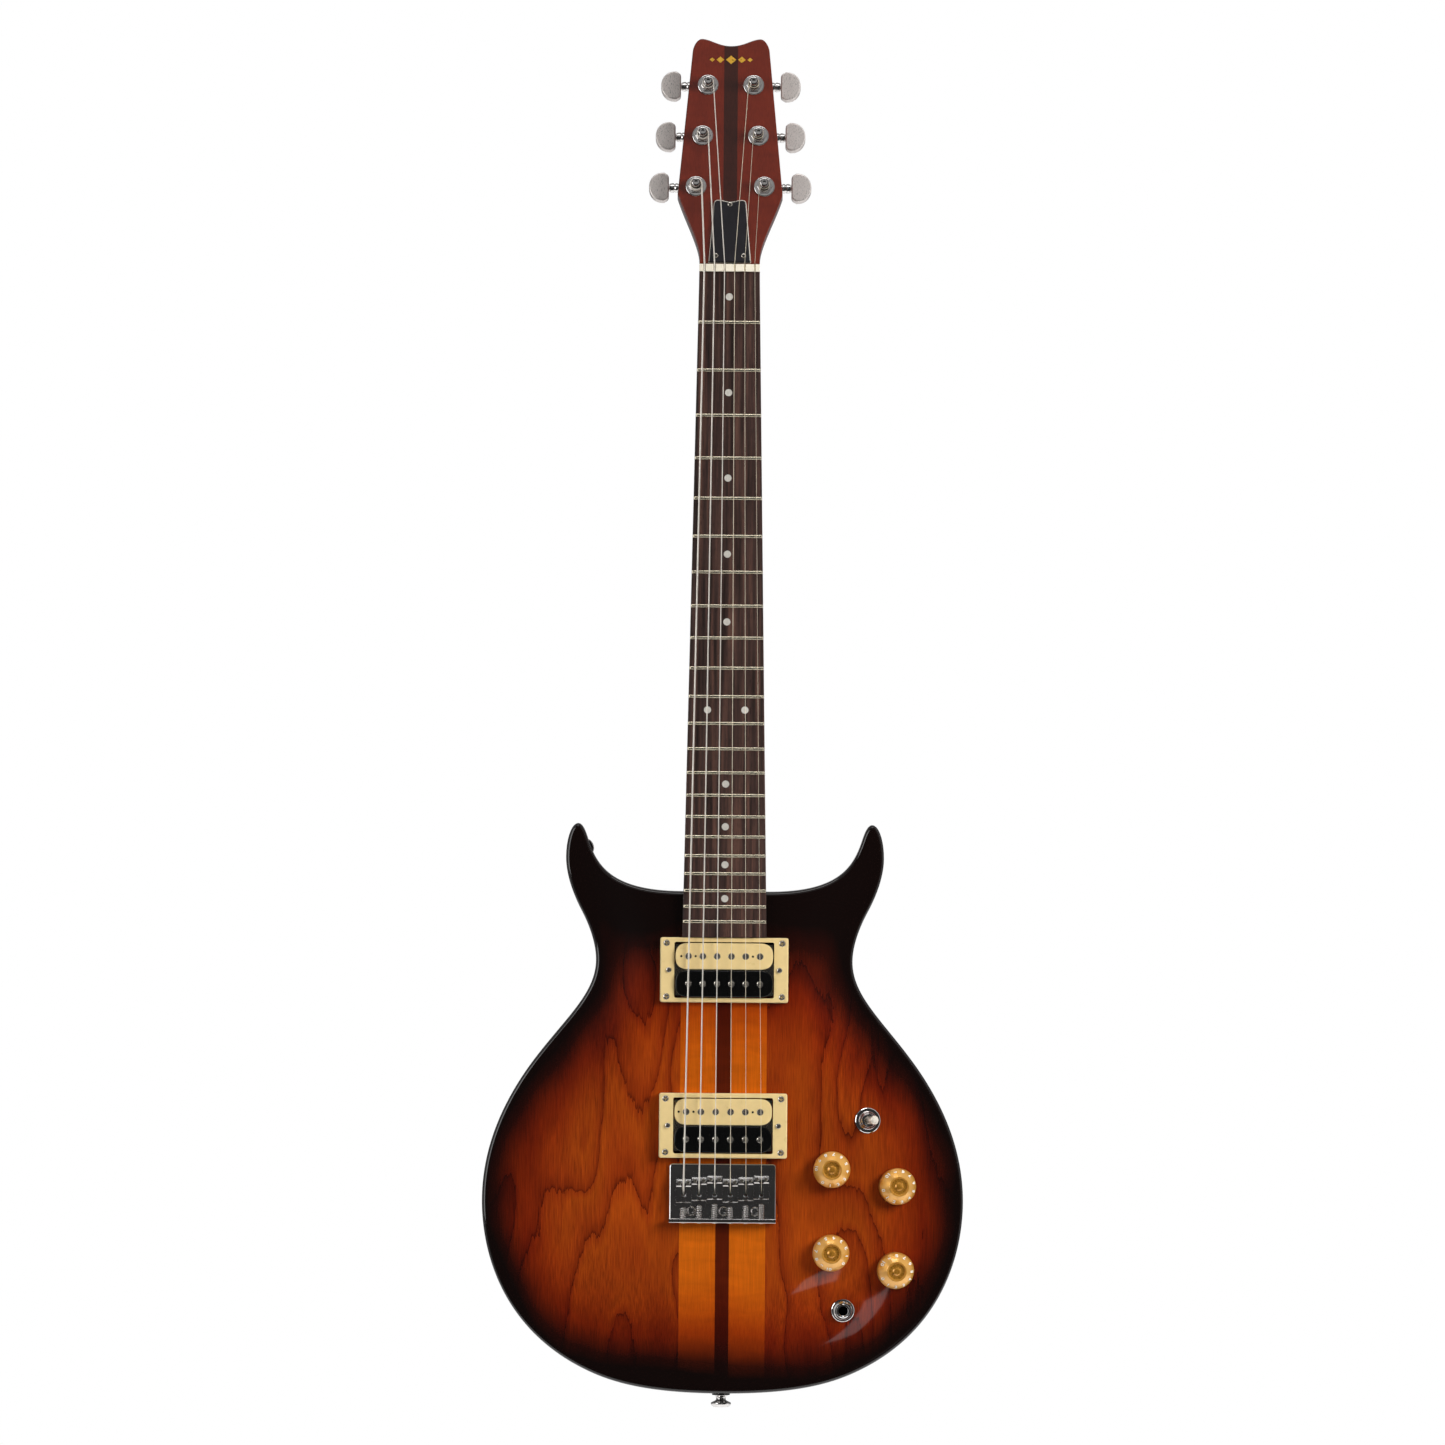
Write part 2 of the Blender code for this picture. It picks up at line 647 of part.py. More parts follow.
def add_neck(finishes):
    """The laminated beam from the headstock to the tail, in one piece."""
    beam = add("neck_through", body_slab(core_plan()), finishes["neck_wood"])
    neck = helper(neck_mesh())
    head = helper(prism(head_plan(), -HEAD_THICKNESS, 0), HEAD_FRAME)
    boolean(beam, "UNION", neck, head)
    rod_y = FRONT_Y + ROD_DEPTH
    rod_end = NUT_Z + NUT_THICKNESS + ROD_REACH
    half = ROD_NUT_RADIUS + ROD_CLEARANCE
    channel = helper(
        box((-half, FRONT_Y - OVERLAP, CUTAWAY_Z), (half, rod_y + half, rod_end + OVERLAP))
    )
    boolean(beam, "DIFFERENCE", channel)
    for i in range(len(STRINGS)):
        x, rise = post_place(i)
        hole = rod(POST_RADIUS + POST_HOLE_CLEARANCE, -HEAD_THICKNESS - OVERLAP, OVERLAP, 12)
        boolean(beam, "DIFFERENCE", helper(hole, HEAD_FRAME @ Matrix.Translation((x, rise, 0))))
    return beam


def string_hole(i, low, high):
    """A cutter for the hole that string i comes up through."""
    place = Matrix.Translation((string_place(i, BRIDGE_Z).x, BRIDGE_Z - STRING_HOLE_BACK, 0))
    return helper(rod(STRING_HOLE_RADIUS, low, high, 8), FRONT_FRAME @ place)


def add_truss_rod(finishes):
    start = CUTAWAY_Z + ROD_CLEARANCE
    end = NUT_Z + NUT_THICKNESS + ROD_REACH
    nut_start = NUT_Z + NUT_THICKNESS
    profile = [(0, start), (ROD_RADIUS, start), (ROD_RADIUS, nut_start), (ROD_NUT_RADIUS, nut_start)]
    profile += [(ROD_NUT_RADIUS, end), (0, end)]
    add("truss_rod", turned(profile, 8), finishes["steel"], Matrix.Translation((0, FRONT_Y + ROD_DEPTH, 0)))
    lift = GAP
    dip = 0.0020
    outline = [
        (-ROD_COVER_FOOT_HALF, lift),
        (ROD_COVER_FOOT_HALF, lift),
        (ROD_COVER_TOP_HALF, ROD_COVER_LENGTH),
        (ROD_COVER_TOP_HALF / 2, ROD_COVER_LENGTH - dip * 0.8),
        (0, ROD_COVER_LENGTH - dip),
        (-ROD_COVER_TOP_HALF / 2, ROD_COVER_LENGTH - dip * 0.8),
        (-ROD_COVER_TOP_HALF, ROD_COVER_LENGTH),
    ]
    cover = prism(outline, lift, lift + ROD_COVER_THICKNESS)
    add("truss_rod_cover", cover, finishes["black_plastic"], HEAD_FRAME)


def board_section(z, lift):
    half = board_half_width(z)
    loop = [(-half, BOARD_FOOT_Y, z), (half, BOARD_FOOT_Y, z)]
    for i in range(5):
        x = half * (1 - i / 2)
        loop.append((x, BOARD_TOP_Y - lift + crown(x), z))
    return loop


def add_fretboard(finishes):
    """The board with its frets, one solid, lofted from the nut to the body end."""
    sections = [board_section(NUT_Z - GAP, 0)]
    for n in range(1, FRET_COUNT + 1):
        z = BRIDGE_Z + SCALE_LENGTH / 2 ** (n / 12)
        for offset, lift in ((1, 0), (0.5, 0.9), (-0.5, 0.9), (-1, 0)):
            sections.append(board_section(z + offset * FRET_HALF_WIDTH, lift * FRET_HEIGHT))
    sections.append(board_section(BOARD_END_Z, 0))
    add("fretboard", loft(sections), finishes["rosewood"])


def add_nut(finishes):
    """A bar with a slot for each string, in the plane across the neck."""
    top = BOARD_TOP_Y - NUT_STRING_HEIGHT - 0.0009
    outline = [(-NUT_HALF_WIDTH, FRONT_Y - GAP), (NUT_HALF_WIDTH, FRONT_Y - GAP)]
    for i in reversed(range(len(STRINGS))):
        place = string_place(i, NUT_Z)
        half = string_radius(i) + GAP
        floor = place.y + string_radius(i) + GAP
        mouth = top + crown(place.x)
        outline += [(place.x + half, mouth), (place.x + half, floor), (place.x - half, floor), (place.x - half, mouth)]
    edge = top + crown(NUT_HALF_WIDTH)
    outline.insert(2, (NUT_HALF_WIDTH, edge))
    outline.append((-NUT_HALF_WIDTH, edge))
    add("nut", prism(outline, NUT_Z, NUT_Z + NUT_THICKNESS - GAP), finishes["bone"])


# Tuners


def add_tuner(i, finishes):
    x, rise = post_place(i)
    side = -1 if i < 3 else 1
    name = f"tuner_{STRINGS[i]}"
    foot = -HEAD_THICKNESS - GAP
    frame = HEAD_FRAME @ Matrix.Translation((x, rise, 0))
    pin_end = foot - HOUSING_DEPTH + 0.0015
    waist = POST_RADIUS * 0.8
    profile = [
        (0, pin_end),
        (POST_PIN_RADIUS, pin_end),
        (POST_PIN_RADIUS, foot + 0.001),
        (POST_RADIUS, foot + 0.001),
        (POST_RADIUS, 0.0035),
        (waist, 0.0050),
        (waist, WRAP_HEIGHT),
        (POST_RADIUS, WRAP_HEIGHT + 0.0015),
        (POST_RADIUS, POST_HEIGHT - 0.0005),
        (POST_RADIUS - 0.0005, POST_HEIGHT),
        (0, POST_HEIGHT),
    ]
    add(f"{name}_post", turned(profile, 12), finishes["chrome"], frame)
    centre = WORM_OFFSET / 2
    plan = rounded(rectangle(HOUSING_HALF_WIDTH, HOUSING_HALF_LENGTH, (0, centre)), 0.004, 3)
    housing = add(f"{name}_housing", prism(plan, foot - HOUSING_DEPTH, foot), finishes["chrome"], frame)
    well = helper(rod(POST_PIN_RADIUS + 0.0004, foot - HOUSING_DEPTH + 0.0010, foot + OVERLAP, 12), frame)
    worm = Matrix.Translation((0, WORM_OFFSET, foot - WORM_DEPTH)) @ Matrix.Rotation(side * math.pi / 2, 4, "Y")
    collar_end = BUTTON_NEAR - 0.0006
    collar = helper(rod(WORM_RADIUS + 0.0016, HOUSING_HALF_WIDTH - 0.002, collar_end, 12), frame @ worm)
    tunnel = helper(rod(WORM_RADIUS + 0.0004, -0.005, BUTTON_NEAR, 12), frame @ worm)
    boolean(housing, "UNION", collar)
    boolean(housing, "DIFFERENCE", well, tunnel)
    add_button(name, frame @ worm, finishes)


def add_button(name, frame, finishes):
    """A half-moon button on the worm's shaft, which runs along Z of its frame."""
    arc = 10
    plan = [(BUTTON_NEAR, BUTTON_HALF_HEIGHT * 0.86), (BUTTON_NEAR, -BUTTON_HALF_HEIGHT * 0.86)]
    for step in range(arc + 1):
        angle = -math.pi / 2 + math.pi * step / arc
        along = BUTTON_NEAR + BUTTON_LENGTH * (0.28 + 0.72 * math.cos(angle) ** 0.8)
        plan.append((along, BUTTON_HALF_HEIGHT * math.sin(angle)))
    half = BUTTON_HALF_THICKNESS
    blade = prism(plan, -half, half)
    lay = Matrix(((0, 0, 1, 0), (0, 1, 0, 0), (-1, 0, 0, 0), (0, 0, 0, 1))).inverted()
    button = add(f"{name}_button", rod(WORM_RADIUS, -0.004, BUTTON_NEAR + 0.003, 12), finishes["chrome"], frame)
    boolean(button, "UNION", helper(blade, frame @ lay))


# Bridge


def add_bridge_plate(finishes):
    back = BRIDGE_Z - BRIDGE_BACK
    front = BRIDGE_Z + BRIDGE_FRONT
    plan = [(-BRIDGE_HALF_WIDTH, back), (BRIDGE_HALF_WIDTH, back)]
    plan += [(BRIDGE_HALF_WIDTH, front - 0.003), (BRIDGE_HALF_WIDTH - 0.003, front)]
    plan += [(-BRIDGE_HALF_WIDTH + 0.003, front), (-BRIDGE_HALF_WIDTH, front - 0.003)]
    top = GAP + BRIDGE_PLATE_THICKNESS
    plate = add("bridge_plate", prism(plan, GAP, top), finishes["chrome"], FRONT_FRAME)
    lip = prism(
        rectangle(BRIDGE_HALF_WIDTH, BRIDGE_LIP_THICKNESS / 2, (0, back + BRIDGE_LIP_THICKNESS / 2)),
        GAP,
        GAP + BRIDGE_LIP_HEIGHT,
    )
    boolean(plate, "UNION", helper(lip, FRONT_FRAME))
    for i in range(len(STRINGS)):
        boolean(plate, "DIFFERENCE", string_hole(i, -OVERLAP, top + OVERLAP))


def add_saddle(i, finishes):
    """A block on two grub screws, open in the middle so that the string drops through it."""
    crest_z = saddle_z(i)
    x = string_place(i, crest_z).x
    crest = -(string_place(i, crest_z).y + string_radius(i) + GAP) + FRONT_Y
    half = (BRIDGE_STRING_SPACING - SADDLE_CLEARANCE) / 2
    heel = -SADDLE_CREST_LENGTH - SADDLE_SLOT_LENGTH
    frame = Matrix.Translation((x, 0, crest_z)) @ FRONT_FRAME
    side_view = [
        (SADDLE_NOSE, crest - SADDLE_WALL_HEIGHT),
        (SADDLE_NOSE, crest - 0.0020),
        (0.0010, crest - 0.0003),
        (0.0, crest),
        (-SADDLE_CREST_LENGTH, crest),
        (-0.0060, crest - 0.0022),
        (heel - SADDLE_HEEL, crest - 0.0026),
        (heel - SADDLE_HEEL, crest - SADDLE_WALL_HEIGHT),
    ]
    turn = Matrix(((0, 0, 1, 0), (1, 0, 0, 0), (0, 1, 0, 0), (0, 0, 0, 1)))
    body = prism(side_view, -half, half)
    body.transform(turn)
    saddle = add(f"saddle_{STRINGS[i]}", body, finishes["chrome"], frame)
    slot = prism(
        rectangle(SADDLE_SLOT_HALF, SADDLE_SLOT_LENGTH / 2, (0, heel + SADDLE_SLOT_LENGTH / 2)),
        crest - SADDLE_WALL_HEIGHT - OVERLAP,
        crest + OVERLAP,
    )
    boolean(saddle, "DIFFERENCE", helper(slot, frame))
    foot = 2 * GAP + BRIDGE_PLATE_THICKNESS
    for side in (-1, 1):
        leg = rod(GRUB_RADIUS, foot, crest - 0.0012, 8)
        place = Matrix.Translation((side * (half - GRUB_RADIUS - 0.0008), 0.0004, 0))
        boolean(saddle, "UNION", helper(leg, frame @ place))


# Pickups


def add_pickup(place, z, ring_height, finishes):
    frame = Matrix.Translation((0, 0, z)) @ FRONT_FRAME
    plan = rounded(rectangle(RING_HALF_WIDTH, RING_HALF_LENGTH), 0.0015, 2)
    ring = add(f"pickup_ring_{place}", prism(plan, GAP, GAP + ring_height), finishes["cream_plastic"], frame)
    window = rounded(rectangle(WINDOW_HALF_WIDTH, WINDOW_HALF_LENGTH), 0.002, 2)
    boolean(ring, "DIFFERENCE", helper(prism(window, -OVERLAP, ring_height + OVERLAP), frame))
    string_height = FRONT_Y - string_place(2, z).y - string_radius(2)
    top = string_height - PICKUP_TO_STRING
    foot = top - BOBBIN_THICKNESS
    half_x = WINDOW_HALF_WIDTH - BOBBIN_CLEARANCE
    half_y = (WINDOW_HALF_LENGTH - BOBBIN_CLEARANCE * 1.5) / 2
    for colour, side in (("cream", 1), ("black", -1)):
        centre = side * (half_y + BOBBIN_CLEARANCE / 2)
        outline = rounded(rectangle(half_x, half_y, (0, centre)), half_y * 0.98, 5)
        name = f"pickup_{place}_bobbin_{colour}"
        add(name, prism(outline, foot, top), finishes[f"{colour}_plastic"], frame)
    base_y = 2 * half_y + BOBBIN_CLEARANCE / 2 - 0.001
    ear_x = BASEPLATE_EAR_HALF_WIDTH
    ear_y = BASEPLATE_EAR_HALF_LENGTH
    quarter = [(half_x, base_y), (half_x, ear_y), (ear_x, ear_y)]
    plate_plan = [(x, y) for x, y in quarter] + [(x, -y) for x, y in reversed(quarter)]
    plate_plan += [(-x, -y) for x, y in quarter] + [(-x, y) for x, y in reversed(quarter)]
    plate = prism(plate_plan, foot - GAP - BASEPLATE_THICKNESS, foot - GAP)
    add(f"pickup_{place}_baseplate", plate, finishes["steel"], frame)


def pickup_cavity(z):
    """A cutter for the pocket under a pickup, with room for its two ears."""
    frame = Matrix.Translation((0, 0, z)) @ FRONT_FRAME
    x = WINDOW_HALF_WIDTH + CAVITY_CLEARANCE
    y = WINDOW_HALF_LENGTH + CAVITY_CLEARANCE
    ear_x = BASEPLATE_EAR_HALF_WIDTH + CAVITY_CLEARANCE
    ear_y = BASEPLATE_EAR_HALF_LENGTH + CAVITY_CLEARANCE
    quarter = [(x, y), (x, ear_y), (ear_x, ear_y)]
    plan = [(a, b) for a, b in quarter] + [(a, -b) for a, b in reversed(quarter)]
    plan += [(-a, -b) for a, b in quarter] + [(-a, b) for a, b in reversed(quarter)]
    return helper(prism(plan, -PICKUP_CAVITY_DEPTH, OVERLAP), frame)


# Controls


def control_plan(margin):
    """Outline of the control cavity, which holds every pot, the switch and the jack."""
    places = [*KNOBS.values(), SWITCH_PLACE, JACK_PLACE]
    inner = min(x for x, _ in places) - POT_RADIUS - 0.004 - margin
    outer = max(x for x, _ in places) + POT_RADIUS + 0.004 + margin
    low = min(rise for _, rise in places) - POT_RADIUS - 0.001 - margin
    high = max(rise for _, rise in places) + POT_RADIUS + 0.001 + margin
    shoulder = 0.020
    corners = [
        (inner, low),
        (outer - 1.3 * shoulder, low),
        (outer, low + 1.4 * shoulder),
        (outer, high - 1.4 * shoulder),
        (outer - shoulder, high),
        (inner, high),
    ]
    return rounded([(x, rise + BODY_TAIL_Z) for x, rise in corners], 0.008, 3)


def back_plan(outline):
    """The same outline seen from behind, where up runs the other way."""
    return [(x, -z) for x, z in outline]


def control_drill(place, seat_radius):
    """A cutter for a bushing's hole, with a level seat for the washer above it."""
    hole = BUSHING_RADIUS + BUSHING_CLEARANCE
    seat = seat_radius + GAP
    below = -POT_TOP_DEPTH - OVERLAP
    above = 3 * OVERLAP
    profile = [(0, below), (hole, below), (hole, 0), (seat, 0), (seat, above), (0, above)]
    return helper(turned(profile), control_frame(place))


def add_wings(finishes):
    plan = wing_plan()
    mirrored = [Vector((-p.x, p.y)) for p in reversed(plan)]
    treble = add("body_wing_treble", body_slab(plan), finishes["body_wood"])
    bass = add("body_wing_bass", body_slab(mirrored), finishes["body_wood"])
    floor = FRONT_Y + CONTROL_CAVITY_FLOOR - BACK_Y
    cavity = helper(prism(back_plan(control_plan(0)), floor, OVERLAP), BACK_FRAME)
    recess = helper(
        prism(back_plan(control_plan(COVER_LEDGE + GAP)), -COVER_THICKNESS - GAP, OVERLAP), BACK_FRAME
    )
    boolean(treble, "DIFFERENCE", cavity, recess)
    for place in KNOBS.values():
        boolean(treble, "DIFFERENCE", control_drill(place, POT_NUT_RADIUS))
    boolean(treble, "DIFFERENCE", control_drill(SWITCH_PLACE, SWITCH_WASHER_RADIUS))
    boolean(treble, "DIFFERENCE", control_drill(JACK_PLACE, WASHER_RADIUS))
    cover = prism(back_plan(control_plan(COVER_LEDGE)), -COVER_THICKNESS, 0)
    add("control_cover", cover, finishes["black_plastic"], BACK_FRAME)
    return treble, bass


def add_knob(name, place, finishes):
    frame = control_frame(place)
    well = SHAFT_RADIUS + SHAFT_CLEARANCE
    body_top = -POT_TOP_DEPTH
    profile = [
        (0, body_top - POT_HEIGHT),
        (POT_RADIUS, body_top - POT_HEIGHT),
        (POT_RADIUS, body_top),
        (BUSHING_RADIUS, body_top),
        (BUSHING_RADIUS, GAP),
        (POT_NUT_RADIUS, GAP),
        (POT_NUT_RADIUS, 0.0030),
        (BUSHING_RADIUS, 0.0030),
        (BUSHING_RADIUS, 0.0040),
        (well, 0.0040),
        (well, -SHAFT_DEPTH - 0.0005),
        (0, -SHAFT_DEPTH - 0.0005),
    ]
    add(f"pot_{name}", turned(profile), finishes["steel"], frame)
    r = KNOB_RADIUS
    top = KNOB_HEIGHT
    recess = 0.0060
    profile = [
        (0, -SHAFT_DEPTH),
        (SHAFT_RADIUS, -SHAFT_DEPTH),
        (SHAFT_RADIUS, recess),
        (r * 0.70, recess),
        (r * 0.70, KNOB_LIFT),
        (r, KNOB_LIFT),
        (r, top * 0.48),
        (r * 0.94, top * 0.60),
        (r * 0.57, top * 0.98),
        (r * 0.50, top),
        (r * 0.42, top * 0.94),
        (r * 0.37, top * 0.88),
        (r * 0.22, top * 0.88),
        (r * 0.15, top * 0.95),
        (0, top * 0.98),
    ]
    add(f"knob_{name}", turned(profile, 20), finishes["gold_plastic"], frame)


def add_switch(finishes):
    frame = control_frame(SWITCH_PLACE)
    pivot = 0.0022
    well = 0.0026
    profile = [
        (0, -0.0180),
        (0.0062, -0.0180),
        (0.0062, -POT_TOP_DEPTH),
        (0.0038, -POT_TOP_DEPTH),
        (0.0038, GAP),
        (SWITCH_WASHER_RADIUS, GAP),
        (SWITCH_WASHER_RADIUS, 0.0012),
        (0.0058, 0.0018),
        (0.0058, 0.0038),
        (0.0040, 0.0046),
        (well, 0.0046),
        (well, -0.0010),
        (0, -0.0010),
    ]
    add("selector_switch", turned(profile), finishes["chrome"], frame)
    lean = frame @ Matrix.Translation((0, 0, pivot)) @ Matrix.Rotation(LEVER_LEAN, 4, "Y")
    tip = LEVER_LENGTH
    profile = [
        (0, -0.0016),
        (0.0012, -0.0012),
        (0.0014, 0.0010),
        (0.0014, 0.0028),
        (0.0019, 0.0034),
        (LEVER_TIP_RADIUS * 0.95, tip * 0.78),
        (LEVER_TIP_RADIUS, tip * 0.86),
        (LEVER_TIP_RADIUS * 0.85, tip * 0.95),
        (LEVER_TIP_RADIUS * 0.45, tip),
        (0, tip),
    ]
    add("selector_lever", turned(profile, 12), finishes["chrome"], lean)


def add_jack(finishes):
    """A socket with a bore right through it, so that it stays open at both ends."""
    frame = control_frame(JACK_PLACE)
    outer = [
        (BUSHING_RADIUS, -0.0160),
        (0.0075, -0.0160),
        (0.0075, -0.0125),
        (BUSHING_RADIUS, -0.0125),
        (BUSHING_RADIUS, GAP),
        (WASHER_RADIUS, GAP),
        (WASHER_RADIUS, 0.0014),
        (0.0062, 0.0018),
        (0.0062, 0.0040),
        (BUSHING_RADIUS, 0.0046),
    ]
    body = [(0, -0.0180), (BUSHING_RADIUS, -0.0180), *outer, (0, 0.0046)]
    jack = add("output_jack", turned(body), finishes["chrome"], frame)
    boolean(jack, "DIFFERENCE", helper(rod(JACK_BORE_RADIUS, -0.0200, 0.0070), frame))


def strap_profile(length):
    return [
        (0, 0),
        (0.0045, 0),
        (0.0045, 0.0012),
        (STRAP_WAIST_RADIUS, 0.0024),
        (STRAP_WAIST_RADIUS, length * 0.48),
        (STRAP_FLANGE_RADIUS, length * 0.66),
        (STRAP_FLANGE_RADIUS, length * 0.80),
        (0.0050, length),
        (0, length),
    ]


def add_strap_buttons(finishes):
    down = Matrix.Translation((0, 0, TAIL_BUTTON_LENGTH - GAP)) @ Matrix.Rotation(math.pi, 4, "X")
    add("strap_button_tail", turned(strap_profile(TAIL_BUTTON_LENGTH - GAP)), finishes["chrome"], down)
    x, rise = HORN_BUTTON_PLACE
    back = Matrix.Translation((x, GAP, BODY_TAIL_Z + rise)) @ BACK_FRAME
    add("strap_button_horn", turned(strap_profile(HORN_BUTTON_HEIGHT)), finishes["chrome"], back)


def build():
    for old in list(bpy.data.objects):
        bpy.data.objects.remove(old)
    finishes = all_materials()
    beam = add_neck(finishes)
    treble, bass = add_wings(finishes)
    for z in (NECK_RING_Z, BRIDGE_RING_Z):
        cavity = pickup_cavity(z)
        for piece in (beam, treble, bass):
            boolean(piece, "DIFFERENCE", cavity)
    for i in range(len(STRINGS)):
        hole = string_hole(i, -BODY_THICKNESS - OVERLAP, OVERLAP)
        drilled = beam
        if abs(string_place(i, BRIDGE_Z).x) + STRING_HOLE_RADIUS > CORE_HALF:
            drilled = bass if i < 3 else treble
        boolean(drilled, "DIFFERENCE", hole)
    add_truss_rod(finishes)
    add_fretboard(finishes)
    add_nut(finishes)
    for i in range(len(STRINGS)):
        add_tuner(i, finishes)
        add_saddle(i, finishes)
        add_string(i, finishes)
    add_bridge_plate(finishes)
    add_pickup("neck", NECK_RING_Z, NECK_RING_HEIGHT, finishes)
    add_pickup("bridge", BRIDGE_RING_Z, BRIDGE_RING_HEIGHT, finishes)
    for name, place in KNOBS.items():
        add_knob(name, place, finishes)
    add_switch(finishes)
    add_jack(finishes)
    add_strap_buttons(finishes)


build()
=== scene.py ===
"""Looks of an electric guitar whose neck runs through its body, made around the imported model.

Metres. X runs towards the treble side, -Y faces the listener and Z runs up the neck.
"""

import json
import logging
import math
from dataclasses import dataclass
from enum import Enum
from typing import Any, Iterable, Sequence

import bmesh
import bpy
import numpy as np
from mathutils import Matrix, Vector
from mathutils.geometry import delaunay_2d_cdt, interpolate_bezier

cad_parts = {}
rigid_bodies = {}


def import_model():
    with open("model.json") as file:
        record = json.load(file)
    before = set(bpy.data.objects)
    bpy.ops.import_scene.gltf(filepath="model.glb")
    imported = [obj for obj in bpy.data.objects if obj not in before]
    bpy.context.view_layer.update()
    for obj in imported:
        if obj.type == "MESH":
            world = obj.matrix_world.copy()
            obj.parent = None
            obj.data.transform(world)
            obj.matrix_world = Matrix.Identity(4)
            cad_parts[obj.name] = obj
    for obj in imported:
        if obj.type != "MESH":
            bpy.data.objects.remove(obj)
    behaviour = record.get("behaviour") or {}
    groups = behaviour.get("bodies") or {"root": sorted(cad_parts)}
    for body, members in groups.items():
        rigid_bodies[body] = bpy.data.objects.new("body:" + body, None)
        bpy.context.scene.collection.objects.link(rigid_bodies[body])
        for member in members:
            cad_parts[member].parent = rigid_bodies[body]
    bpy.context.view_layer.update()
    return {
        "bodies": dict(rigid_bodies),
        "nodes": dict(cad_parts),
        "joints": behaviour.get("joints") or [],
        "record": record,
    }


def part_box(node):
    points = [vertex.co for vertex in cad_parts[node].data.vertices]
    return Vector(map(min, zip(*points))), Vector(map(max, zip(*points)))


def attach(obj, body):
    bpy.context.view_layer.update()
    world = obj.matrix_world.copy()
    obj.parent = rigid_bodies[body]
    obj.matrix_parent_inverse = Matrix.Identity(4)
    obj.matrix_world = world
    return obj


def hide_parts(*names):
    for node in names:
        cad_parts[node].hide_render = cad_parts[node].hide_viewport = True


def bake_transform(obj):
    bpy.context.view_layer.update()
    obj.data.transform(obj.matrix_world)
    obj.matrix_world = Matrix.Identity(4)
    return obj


LOG = logging.getLogger("guitar")
MM = 0.001
HAIR = 0.00002  # glued faces reach into each other by this, so that no light comes through
MIX_A, MIX_B, MIX_OUT = 6, 7, 2  # a colour Mix node's sockets
NOISE_SPAN = (0.3, 0.7)  # nearly all of a noise lies between these
STRINGS = ("low_e", "a", "d", "g", "b", "high_e")
Plan = Sequence[Sequence[float]]
Mesh, Thing = bpy.types.Mesh, bpy.types.Object
Tree, Node, Socket = bpy.types.NodeTree, bpy.types.Node, bpy.types.NodeSocket


class Side(Enum):
    """The two sides of the guitar, as signs of X."""

    BASS = -1
    TREBLE = 1


class Drive(Enum):
    """The recess in a screw's head: how many arms it has."""

    SLOT = 2
    CROSS = 4


# Materials


def linear(colour: str | float) -> tuple[float, float, float, float]:
    """Turns a colour to linear RGBA.

    Args:
        colour: An sRGB hex value, or a grey that is linear already.

    Returns:
        Red, green, blue and an alpha of one.
    """
    if isinstance(colour, (int, float)):
        return (colour, colour, colour, 1.0)
    shares = [int(colour[i : i + 2], 16) / 255 for i in (1, 3, 5)]
    red, green, blue = (s / 12.92 if s <= 0.04045 else ((s + 0.055) / 1.055) ** 2.4 for s in shares)
    return (red, green, blue, 1.0)


def add_node(
    tree: Tree,
    kind: str,
    inputs: dict[str | int, Any] | None = None,
    stops: Sequence[tuple[float, str | float]] = (),
    **settings: Any,
) -> Node:
    """Adds one node to a tree.

    Args:
        tree: The tree that takes the node.
        kind: The node's type.
        inputs: For each input, the socket that feeds it or its value.
        stops: The places and colours of a colour ramp.
        **settings: The node's own settings.

    Returns:
        The node.
    """
    made = tree.nodes.new(kind)
    for name, value in settings.items():
        setattr(made, name, value)
    for i, (place, colour) in enumerate(stops):
        elements = made.color_ramp.elements
        stop = elements[i] if i < 2 else elements.new(place)
        stop.position = place
        stop.color = linear(colour)
    for key, value in (inputs or {}).items():
        if isinstance(value, Socket):
            tree.links.new(value, made.inputs[key])
        else:
            made.inputs[key].default_value = value
    return made


def ranged(tree: Tree, by: Socket, spans: Sequence[float]) -> Socket:
    """Maps a value from one range to another: low, high and what they become."""
    inputs = {0: by, **{i + 1: value for i, value in enumerate(spans)}}
    return add_node(tree, "ShaderNodeMapRange", inputs).outputs[0]


def maths(tree: Tree, operation: str, *terms: Any) -> Socket:
    """Adds one sum."""
    return add_node(tree, "ShaderNodeMath", dict(enumerate(terms)), operation=operation).outputs[0]


def mixed(tree: Tree, share: Any, a: Any, b: Any, blend: str = "MIX") -> Socket:
    """Mixes or multiplies two colours.

    Args:
        tree: The tree that takes the node.
        share: How much of the second colour there is, or how much of it counts.
        a: The first colour.
        b: The second colour.
        blend: The node's way of mixing.

    Returns:
        The colour's socket.
    """
    inputs = {0: share, MIX_A: a, MIX_B: b}
    return add_node(tree, "ShaderNodeMix", inputs, data_type="RGBA", blend_type=blend).outputs[MIX_OUT]


